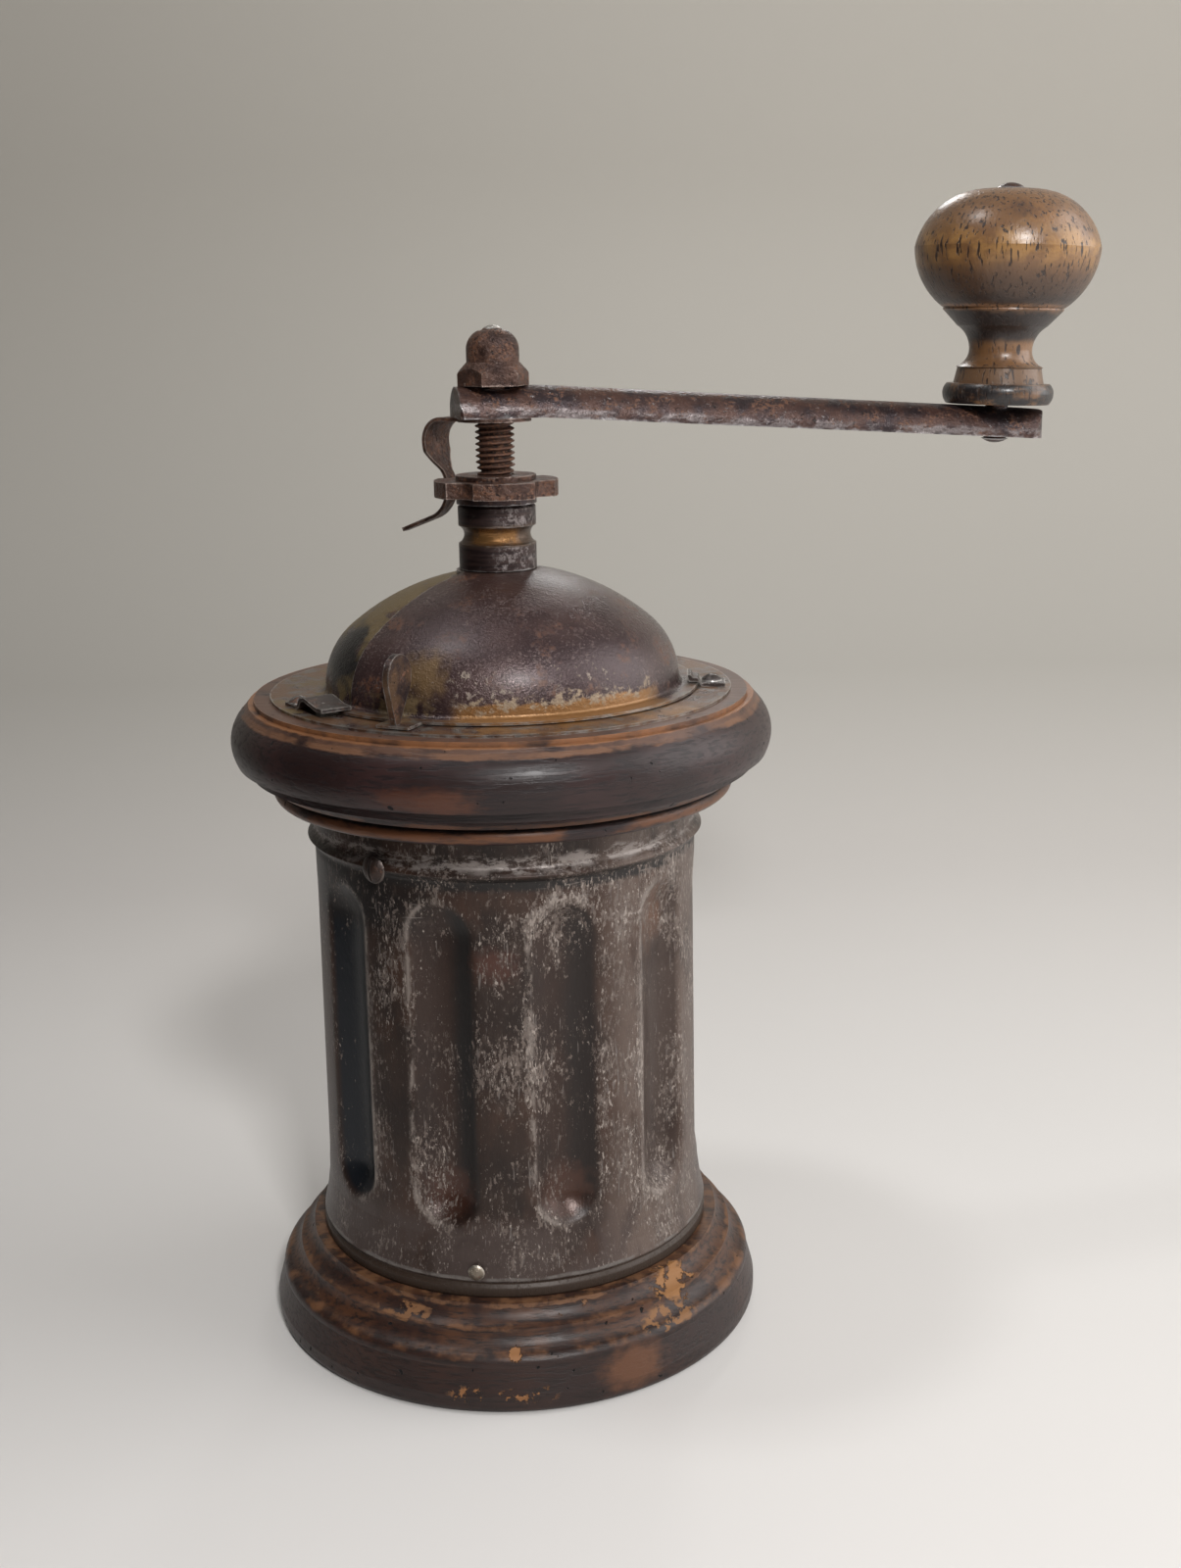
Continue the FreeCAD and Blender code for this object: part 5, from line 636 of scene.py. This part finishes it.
# %% Cover and dome
def browned_steel(tree, cover):
    """Oxidised pressed steel with specks, flakes, golden fillet and bright rims."""
    place = place_on(tree)
    clouds = patches(tree, place, 17, 0.52, 0.12, seed=61)
    clusters = patches(tree, place, 9, 0.5, 0.2, seed=62)
    density = total(tree, (clusters, 0.12))
    specks = patches(tree, place, 0.7, 0.68, 0.06, detail=4, seed=63, more=density)
    pricks = patches(tree, place, 0.4, 0.76, 0.03, detail=3, seed=64, more=density)
    rust = patches(tree, place, 9, 0.6, 0.05, seed=65)
    rust = patches(tree, place, 1.0, 0.5, 0.08, seed=66, within=rust)
    front = band(tree, place, "angle", -14, 54, 4, 3, 5, seed=67)
    gold = band(tree, place, "height", 143.9, 147.2, 0.4, 0.9, 4, seed=68, within=front)
    crust = band(tree, place, "height", 146.0, 148.6, 0.5, 1.6, 2.5, seed=69, within=front)
    crust = patches(tree, place, 2.0, 0.52, 0.04, detail=8, dust=0.75, seed=70, within=crust)
    flake_left = near(tree, place, on_ring(-8, 37.5, 150.5), (8, 8, 4.2), 0.6)
    flake_right = near(tree, place, on_ring(25, 37.5, 150.8), (9, 9, 4.8), 0.6)
    flaked = total(tree, (flake_left, 0.12), (flake_right, 0.11))
    pale = patches(tree, place, 2.6, 0.685, 0.02, detail=8, dust=0.75, seed=71, more=flaked)
    tan = near(tree, place, on_ring(-25, 38, 153), (5.5, 5.5, 5), 0.5)
    tab_foot = near(tree, place, on_ring(-33, 41, 146.5), (9, 9, 2.8), 0.3)
    tab_foot = patches(tree, place, 3, 0.46, 0.08, seed=72, within=tab_foot)
    flange = band(tree, place, "radius", 40.5, 52, 0.7)
    ochre = patches(tree, place, 7, 0.46, 0.1, seed=73, within=flange)
    grey = patches(tree, place, 3, 0.56, 0.05, seed=74, within=flange)
    worn = rims(tree, place, 0.45, 0.35, 0.15)
    # Darker in the corners and hollows that outward rays find close by.
    dark_hollows = rims(tree, place, 1.2, 0.6, 0.25, inside=False)
    crown = band(tree, place, "height", 166, 190, 5, 3, 6, seed=77)
    fine = patches(tree, place, 0.45, 0.5, 0.25, seed=75)
    pebbles = patches(tree, place, 1.0, 0.5, 0.3, detail=2, seed=79)
    layers = [
        (clouds, "#4a3735", 0.27, 0.4),
        (crown, "#38241d", 0.38, 0.25),
        (rust, "#5a3a2a", 0.5, 0.1),
        (specks, "#584845", 0.4, 0.3),
        (pricks, "#8a7d78", 0.5, 0.2),
    ]
    if not cover:
        back = band(tree, place, "angle", -180, -50, 3)
        olive = patches(tree, place, 11, 0.48, 0.03, stretch=(1, 1, 0.6), detail=8, dust=0.72,
                        seed=76, within=back)
        black = near(tree, place, on_ring(-70, 38, 154), (12, 12, 7), 0.25)
        layers += [(olive, "#6b5a3c", 0.45, 0.25), (black, "#1c191a", 0.3, 0.5)]
    layers += [
        (ochre, "#684b35", 0.4, 0.35),
        (grey, "#6d6660", 0.4, 0.5),
        (tan, "#6a5338", 0.4, 0.3),
        (gold, "#8c653b", 0.3, 0.5),
        (crust, "#93806a", 0.5, 0.2),
        (pale, "#8d7f74", 0.5, 0.25),
        (tab_foot, "#6f5c42", 0.45, 0.3),
        (dark_hollows, "#1e1716", 0.6, 0.1),
        (worn, "#a09992", 0.32, 0.7),
    ]
    relief = [(fine, 0.045), (pebbles, 0.05), (specks, 0.03), (rust, 0.05), (pale, 0.04)]
    return ("#3b2b2c", 0.25, 0.5), layers, relief


dress(finish("browned_steel_cover", browned_steel, coat=0.25, coat_roughness=0.32, cover=True),
      "dome_cover")
dress(finish("browned_steel_dome", browned_steel, cover=False), "hopper_dome")


# %% [markdown]
# ## Forged and rusted steel
# The crank, the nuts, the spring and the small clips are bare steel. The crank is dark, with a silver
# band along the lower part of its arm, while the star nut and the thread rusted to a dull brown. One
# recipe serves them all, with other colours and amounts.


# %% Bare steel
def bare_steel(tree, base="#352b2d", warm="#4a322a", bright="#9b9696", rust_cut=0.56, rim=0.45,
               rim_cut=0.35, shine=0.34, lumps=0.04, streak=None):
    """Dark steel with rust clouds, pits and bright rubbed edges.

    `lumps` is how far the surface swells, in millimetres. `streak` gives an axis, a foot and two heights
    between which the steel is painted silver.
    """
    place = place_on(tree)
    clouds = patches(tree, place, 6, 0.5, 0.12, seed=81)
    rust = patches(tree, place, 3.5, rust_cut, 0.06, seed=82)
    crust = patches(tree, place, 0.7, 0.52, 0.08, seed=83, within=rust)
    pits = patches(tree, place, 1.2, 0.63, 0.03, detail=6, dust=0.75, seed=84)
    # Painted glints: small bright spots, painted highlights on the steel.
    glints = patches(tree, place, 1.3, 0.63, 0.03, detail=7, dust=0.8, seed=89)
    fine = patches(tree, place, 0.45, 0.5, 0.25, seed=85)
    swell = patches(tree, place, 2.2, 0.5, 0.3, seed=88)
    worn = rims(tree, place, rim, rim_cut, 0.15)
    # Darker in the corners and hollows that outward rays find close by.
    dark_hollows = rims(tree, place, 1.0, 0.6, 0.25, inside=False)
    layers = [
        (clouds, warm, shine + 0.06, 0.4),
        (crust, "#64422f", 0.6, 0.1),
        (glints, bright, 0.34, 0.6),
        (pits, "#1a1210", 0.6, 0.2),
        (dark_hollows, "#1c1412", 0.7, 0.1),
    ]
    if streak:
        axis, foot, low, high = streak
        silver_band = band(tree, place_on(tree, axis, foot), "height", low, high, 0.4, 0.5, 5, seed=86)
        silver_band = patches(tree, place, 2.4, 0.5, 0.06, stretch=(0.4, 0.4, 1), detail=8, dust=0.75,
                         seed=87, within=silver_band)
        layers.append((silver_band, "#736a69", 0.38, 0.6))
    layers.append((worn, bright, 0.32, 0.85))
    relief = [(fine, 0.03), (swell, lumps), (pits, -0.12), (crust, 0.05), (glints, 0.04)]
    return (base, shine, 0.6), layers, relief


ARM_TURN, ARM_SLOPE = math.radians(12), math.radians(3.94)
ARM_BEND, ARM_BOTTOM = 9.2, 201.1
ARM_AXIS = (math.sin(ARM_SLOPE) * math.cos(ARM_TURN), math.sin(ARM_SLOPE) * math.sin(ARM_TURN),
            math.cos(ARM_SLOPE))
ARM_FOOT = (ARM_BEND * math.cos(ARM_TURN), ARM_BEND * math.sin(ARM_TURN), ARM_BOTTOM)
dress(finish("forged_steel_crank", bare_steel, rim=1.0, rim_cut=0.45, lumps=0.12,
             streak=(ARM_AXIS, ARM_FOOT, 0.2, 1.9)), "crank_arm")
dark_steel = finish("forged_steel_dark", bare_steel, rim=0.6)
dress(dark_steel, "knob_pin", "thrust_washer")
dress(finish("tab_steel", bare_steel, warm="#57412f", bright="#8f8884", rim=0.35), "cover_tab")
rusted = finish("forged_steel_rusted", bare_steel, base="#362520", warm="#523a30", bright="#94837b",
                rust_cut=0.5, shine=0.38, lumps=0.35)
dress(rusted, "adjusting_nut", "cap_nut", "detent_spring")
dress(finish("column_screw", bare_steel, base="#2b2321", warm="#33251f", bright="#5d5551"),
      "shell_screws")
clip_steel = finish("clip_steel", bare_steel, base="#4a4442", warm="#453a36", bright="#aaa6a2",
                    shine=0.38)
dress(clip_steel, "left_clip", "right_clip", "clip_screws")
dress(finish("bright_nail", bare_steel, base="#6b6156", warm="#8c8070", bright="#b5aca0",
             rust_cut=0.62), "base_nails")


# %% Collar
def collar_steel(tree):
    """Turned steel collar; its waist still has brass-coloured lacquer."""
    place = place_on(tree)
    rings = patches(tree, place, 1.4, 0.5, 0.12, stretch=(0.2, 0.2, 2), seed=91)
    waist = band(tree, place, "height", 174.6, 179.0, 0.4, 0.3, 3, seed=92)
    gold = band(tree, place, "height", 175.2, 178.4, 0.5, 0.4, 3, seed=93)
    gold = patches(tree, place, 4, 0.45, 0.1, detail=7, seed=94, within=gold)
    gold = band(tree, place, "angle", -42, 34, 12, 8, 3, seed=97, within=gold)
    # Painted sheen: silver specks on the lit right side of the collar.
    lit = band(tree, place, "angle", 0, 75, 14, 10, 6, seed=96)
    lit_sheen = patches(tree, place, 1.5, 0.54, 0.05, detail=8, dust=0.75, seed=95, within=lit)
    worn = rims(tree, place, 0.5, 0.35, 0.15)
    layers = [
        (rings, "#3a2b28", 0.4, 0.5),
        (lit_sheen, "#7d7472", 0.35, 0.6),
        (waist, "#54453a", 0.32, 0.7),
        (gold, "#8a643c", 0.26, 0.7),
        (worn, "#8f8a88", 0.3, 0.8),
    ]
    return ("#271c1c", 0.34, 0.5), layers, [(rings, 0.04), (lit_sheen, 0.04)]


dress(finish("turned_steel_collar", collar_steel), "neck_collar")

# %% [markdown]
# ## Threaded spindle
# Between the star nut and the crank, the spindle shows its thread. A thread is a profile
# that climbs as it turns: the radius depends on the height divided by the pitch, minus the
# share of a turn. It fades out at both ends, so the shaft stays round where it is plain,
# and the lowest turns stay slim enough to sink into the star nut.

# %% Thread
PITCH = 1.25
THREAD_DEPTH = 0.85
THREAD_SWELL = 0.25
THREAD_START, SWELL_START, THREAD_END = 188.4, 190.5, 200.7
TIP_EDGE, TIP_TOP = 218.2, 220.1
SHAFT_SIDES = 96
shaft_height = [71.0, 71.4, 78.5, 78.7, 150.0, 201.0, 201.1, 206.0, 217.5, TIP_EDGE, 218.9, 219.5,
                219.9, TIP_TOP]
shaft_radius = [2.8, 3.2, 3.2, 3.9, 3.9, 3.9, 2.7, 2.7, 2.7, 2.6, 2.3, 1.7, 0.9, 0.0]
below_tip = [height for height in shaft_height if height < TIP_EDGE]
spindle_rows = np.unique(np.concatenate([
    below_tip, np.arange(187.0, 200.9, 0.08), np.linspace(TIP_EDGE, TIP_TOP, 12)]))
turns, rises = np.meshgrid(np.linspace(0, 1, SHAFT_SIDES + 1)[:-1], spindle_rows)
climb = (rises / PITCH - turns) % 1
groove = 1 - np.abs(climb * 2 - 1)
fading = 1 - smooth(rises, THREAD_END - 0.7, THREAD_END)
threaded = smooth(rises, THREAD_START, THREAD_START + 0.8) * fading
swollen = smooth(rises, SWELL_START, SWELL_START + 0.6) * fading
shaft = np.interp(rises, shaft_height, shaft_radius) + THREAD_SWELL * swollen
shaft -= THREAD_DEPTH * threaded * smooth(groove, 0.1, 0.95)
shaft_turn = turns * 2 * np.pi
shaft_points = np.stack([shaft * np.cos(shaft_turn), shaft * np.sin(shaft_turn), rises], -1) * MM
spindle = grid_piece("threaded_spindle", shaft_points, "crank")
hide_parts("spindle")


def thread_steel(tree):
    """Rusted thread: dark brown roots, lighter crests, and a bright tip that is a painted highlight."""
    place = place_on(tree)
    clouds = patches(tree, place, 3, 0.5, 0.12, seed=101)
    crest = band(tree, place, "radius", 3.75, 4.3, 0.2, 0.1, 2, seed=102)
    # Painted highlight: the tip is painted bright steel.
    tip_highlight = band(tree, place, "height", 219.4, 221, 0.3, 0.2, 2, seed=103)
    crust = patches(tree, place, 0.6, 0.55, 0.08, seed=104)
    layers = [
        (crest, "#644639", 0.48, 0.4),
        (clouds, "#4a352c", 0.6, 0.2),
        (crust, "#6a4630", 0.7, 0.05),
        (tip_highlight, "#b9b5b0", 0.3, 0.9),
    ]
    return ("#1d1412", 0.6, 0.3), layers, [(crust, 0.05), (clouds, 0.03)]


spindle.data.materials.append(finish("threaded_steel", thread_steel))

# %% [markdown]
# ## Beech knob
# The knob was turned from beech with the grain upright, and varnished. Beech is known by its short dark
# flecks. The varnish wore to gold round the belly and is darker below it, and painted shade darkens the
# neck under the belly. The bands follow the knob's own leaning axis.

# %% Knob finish
KNOB_AXIS = (0.03243, 0.00689, 0.99945)
KNOB_FOOT = (113.367, 24.097, 197.001)


def beech(tree):
    """Varnished beech: gold belly, dark shoulder and neck, upright flecks."""
    place = place_on(tree, KNOB_AXIS, KNOB_FOOT)
    clouds = patches(tree, place, 7, 0.5, 0.14, stretch=(1, 1, 1.6), seed=111)
    belly = band(tree, place, "height", 33.6, 41.6, 2.8, 1.4, 6, seed=112)
    pale_top = patches(tree, place, 6, 0.52, 0.1, stretch=(1, 1, 1.4), seed=113)
    low = band(tree, place, "height", 26.0, 32.2, 2.8, 0.8, 6, seed=114)
    dark_low = band(tree, place, "height", 25.0, 27.6, 1.8, 0.8, 6, seed=115)
    line = band(tree, place, "height", 24.2, 25.4, 0.3, 0.25, 4, seed=116)
    line = patches(tree, place, 6, 0.42, 0.1, seed=117, within=line)
    # Painted shade: the neck under the belly is darkened.
    shade = band(tree, place, "height", 17.6, 24.2, 0.9, 0.8, 5, seed=118)
    ring = band(tree, place, "height", 8.4, 12.2, 0.3, 0.4, 3, seed=119)
    foot_ring = band(tree, place, "height", 0, 8.3, 0.3, 0.3, 4, seed=110)
    foot_ring = patches(tree, place, 3.0, 0.4, 0.1, stretch=(0.5, 0.5, 1), detail=7, seed=122,
                        within=foot_ring)
    fleck = patches(tree, place, 0.75, 0.61, 0.035, stretch=(1, 1, 0.15), detail=2, seed=120)
    fibre = patches(tree, place, 0.8, 0.5, 0.2, stretch=(1, 1, 0.08), seed=121)
    layers = [
        (fibre, "#6d4e34", 0.36, 0.0),
        (pale_top, "#805c3b", 0.34, 0.0),
        (belly, "#9d7545", 0.34, 0.0),
        (clouds, "#735235", 0.36, 0.0),
        (low, "#4d3829", 0.4, 0.0),
        (dark_low, "#2c201b", 0.42, 0.0),
        (shade, "#251b18", 0.42, 0.0),
        (ring, "#6a4f38", 0.48, 0.0),
        (line, "#846043", 0.45, 0.0),
        (foot_ring, "#1d1818", 0.4, 0.0),
        (fleck, "#33241c", 0.45, 0.0),
    ]
    return ("#523b2c", 0.4, 0.0), layers, [(fleck, -0.1), (fibre, 0.03), (clouds, 0.04)]


dress(finish("varnished_beech", beech, coat=0.25, coat_roughness=0.22), "knob")

# %% [markdown]
# ## Burrs, bearing bridge and drawer
# The burrs are cast iron, grey and granular, with the shine of use on their teeth. The
# drawer slides in at the back, and it is of the same tinned sheet as the column.


# %% Inner pieces
def cast_iron(tree):
    """Grey cast iron with a sandy skin and a brown bloom."""
    place = place_on(tree)
    sand = patches(tree, place, 0.9, 0.5, 0.2, seed=131)
    bloom = patches(tree, place, 8, 0.54, 0.1, seed=132)
    worn = rims(tree, place, 0.7, 0.35, 0.15)
    layers = [
        (bloom, "#453630", 0.6, 0.3),
        (worn, "#8b8885", 0.35, 0.85),
    ]
    return ("#3b3937", 0.5, 0.7), layers, [(sand, 0.06)]


dress(finish("cast_iron", cast_iron), "outer_burr", "inner_burr", "burr_bridge")
dress(clip_steel, "burr_pin", "bridge_screws", "burr_screws")


def drawer_tin(tree):
    """Tinned sheet with the column's brown oxide and grey specks."""
    place = place_on(tree)
    clouds = patches(tree, place, 16, 0.5, 0.12, seed=141)
    clusters = patches(tree, place, 10, 0.5, 0.2, seed=143)
    density = total(tree, (clusters, 0.12))
    specks, flecks = tin_specks(tree, place, density, (0.64, 0.7), (142, 144))
    worn = rims(tree, place, 0.5, 0.35, 0.15)
    layers = [
        (clouds, "#382318", 0.42, 0.25),
        (specks, *SPECK_TIN),
        (flecks, *FLECK_TIN),
        (worn, "#8f8b88", 0.4, 0.7),
    ]
    return ("#241813", 0.4, 0.3), layers, [(specks, 0.03), (flecks, 0.03)]


dress(finish("tinned_sheet_drawer", drawer_tin), "drawer_tray", "drawer_front")
dress(dark_steel, "drawer_knob", "drawer_rivet")

# %% [markdown]
# ## Table, wall and light
# The grinder stands on a pale table in front of a grey wall that turns into it softly, so one sheet that
# bends upwards makes both. Its colour paints the fall of light along the sheet, from nearly white in
# front to a warm grey above, and painted shade makes it a little darker on the left. The sheet shows on
# its inner face only, so the grinder can also be looked at from behind.

# %% Table and wall
WALL_Y = 0.62
WALL_TOP = 1.8
BEND = 0.3
TABLE_FRONT = -1.6
STAGE_HALF = 2.2
path = [(TABLE_FRONT, 0.0), (-0.5, 0.0), (WALL_Y - BEND, 0.0)]
path += [(WALL_Y - BEND + BEND * math.sin(a), BEND - BEND * math.cos(a))
         for a in np.linspace(0, math.pi / 2, 24)[1:]]
path += [(WALL_Y, WALL_TOP / 2), (WALL_Y, WALL_TOP)]
path = np.array(path)
sides = np.linspace(-STAGE_HALF, STAGE_HALF, 9)
stage_points = np.stack([
    np.repeat(sides[None], len(path), 0), np.repeat(path[:, :1], len(sides), 1),
    np.repeat(path[:, 1:], len(sides), 1)], -1)
backdrop = grid_piece("table_and_wall", stage_points, around=False)

backdrop_finish = bpy.data.materials.new("matt_paper")
backdrop_finish.use_nodes = True
tree = backdrop_finish.node_tree
place = place_on(tree)
deep = add(tree, "ShaderNodeMath", {0: place["y"], 1: place["height"]})
# Painted shade: the sheet darkens towards the left.
side = add(tree, "ShaderNodeMapRange", {0: place["x"], 1: -450.0, 2: 250.0, 3: 0.72, 4: 1.0},
           interpolation_type="SMOOTHSTEP")
# Painted light: the colour falls from nearly white in front to a warm grey on the wall.
ramp = add(tree, "ShaderNodeValToRGB")
share = add(tree, "ShaderNodeMapRange", {0: deep.outputs[0], 1: -300.0, 2: 900.0})
tree.links.new(share.outputs[0], ramp.inputs[0])
stops = [(0.0, "#f4f0ed"), (0.3, "#dbd8d5"), (0.52, "#c5c1bd"), (0.7, "#a6a29b"), (1.0, "#aaa59c")]
for number, (position, colour) in enumerate(stops):
    stop = ramp.color_ramp.elements[number] if number < 2 else ramp.color_ramp.elements.new(position)
    stop.position = position
    stop.color = linear(colour)
shader = tree.nodes["Principled BSDF"]
shaded = add(tree, "ShaderNodeVectorMath", {0: ramp.outputs[0], "Scale": side.outputs[0]},
             operation="SCALE")
tree.links.new(shaded.outputs[0], shader.inputs["Base Color"])
shader.inputs["Roughness"].default_value = 0.6
facing = add(tree, "ShaderNodeNewGeometry")
clear = add(tree, "ShaderNodeBsdfTransparent")
sheet_mix = add(tree, "ShaderNodeMixShader", {0: facing.outputs["Backfacing"], 1: shader.outputs[0],
                                              2: clear.outputs[0]})
tree.links.new(sheet_mix.outputs[0], tree.nodes["Material Output"].inputs["Surface"])
backdrop.data.materials.append(backdrop_finish)

# %% [markdown]
# A dark curtain stands to the left, and the camera never sees it. Nothing bright is mirrored
# on that side of the grinder, which gives its round forms their depth.

# %% Curtain
CURTAIN_FOOT = ((-0.24, -0.42), (-0.3, 0.12))
CURTAIN_HEIGHT = 0.55
curtain_points = np.array([[(x, y, z) for x, y in CURTAIN_FOOT] for z in (0.0, CURTAIN_HEIGHT)])
curtain = grid_piece("dark_curtain", curtain_points, around=False)
curtain.visible_camera = False
cloth = bpy.data.materials.new("black_cloth")
cloth.use_nodes = True
shader = cloth.node_tree.nodes["Principled BSDF"]
shader.inputs["Base Color"].default_value = linear("#141212")
shader.inputs["Roughness"].default_value = 0.9
curtain.data.materials.append(cloth)


# %% Lamps
GRINDER_MIDDLE = (0, 0, 0.12)
CRANK_MIDDLE = (0.1, 0, 0.24)
SKY_SEEN = 0.62


def lamp(name, place, aim, size, power):
    """A square soft lamp at `place`, turned so that it shines at `aim`."""
    data = bpy.data.lights.new(name, "AREA")
    data.size = size
    data.energy = power
    item = bpy.data.objects.new(name, data)
    bpy.context.scene.collection.objects.link(item)
    item.visible_camera = False
    item.location = place
    item.rotation_euler = (Vector(aim) - Vector(place)).to_track_quat("-Z", "Y").to_euler()


lamp("window_front", (0.33, -1.35, 1.15), GRINDER_MIDDLE, 0.24, 18.5)
lamp("ceiling", (-0.38, 0.0, 1.25), GRINDER_MIDDLE, 0.18, 2.6)
lamp("window_right", (1.5, -0.1, 0.8), GRINDER_MIDDLE, 1.5, 19.0)
lamp("window_behind", (0.12, 0.55, 0.46), CRANK_MIDDLE, 0.08, 0.25)
room = bpy.data.worlds.new("room")
bpy.context.scene.world = room
room.use_nodes = True
tree = room.node_tree
coords = add(tree, "ShaderNodeTexCoord")
split = add(tree, "ShaderNodeSeparateXYZ", {0: coords.outputs["Generated"]})
from_right = add(tree, "ShaderNodeMapRange", {0: split.outputs[0], 1: -0.3, 2: 1.0, 3: 0.0, 4: 0.45})
from_above = add(tree, "ShaderNodeMapRange", {0: split.outputs[2], 1: 0.0, 2: 1.0, 3: 0.05, 4: 0.28})
sky = total(tree, (from_right.outputs[0], 1.0), (from_above.outputs[0], 1.0))
tree.nodes["Background"].inputs[0].default_value = linear("#e8e6e4")
seen = add(tree, "ShaderNodeLightPath").outputs["Is Camera Ray"]
sky = add(tree, "ShaderNodeMix", {0: seen, 2: sky, 3: SKY_SEEN}, data_type="FLOAT").outputs[0]
tree.links.new(sky, tree.nodes["Background"].inputs[1])
bpy.context.scene.view_settings.view_transform = "Standard"
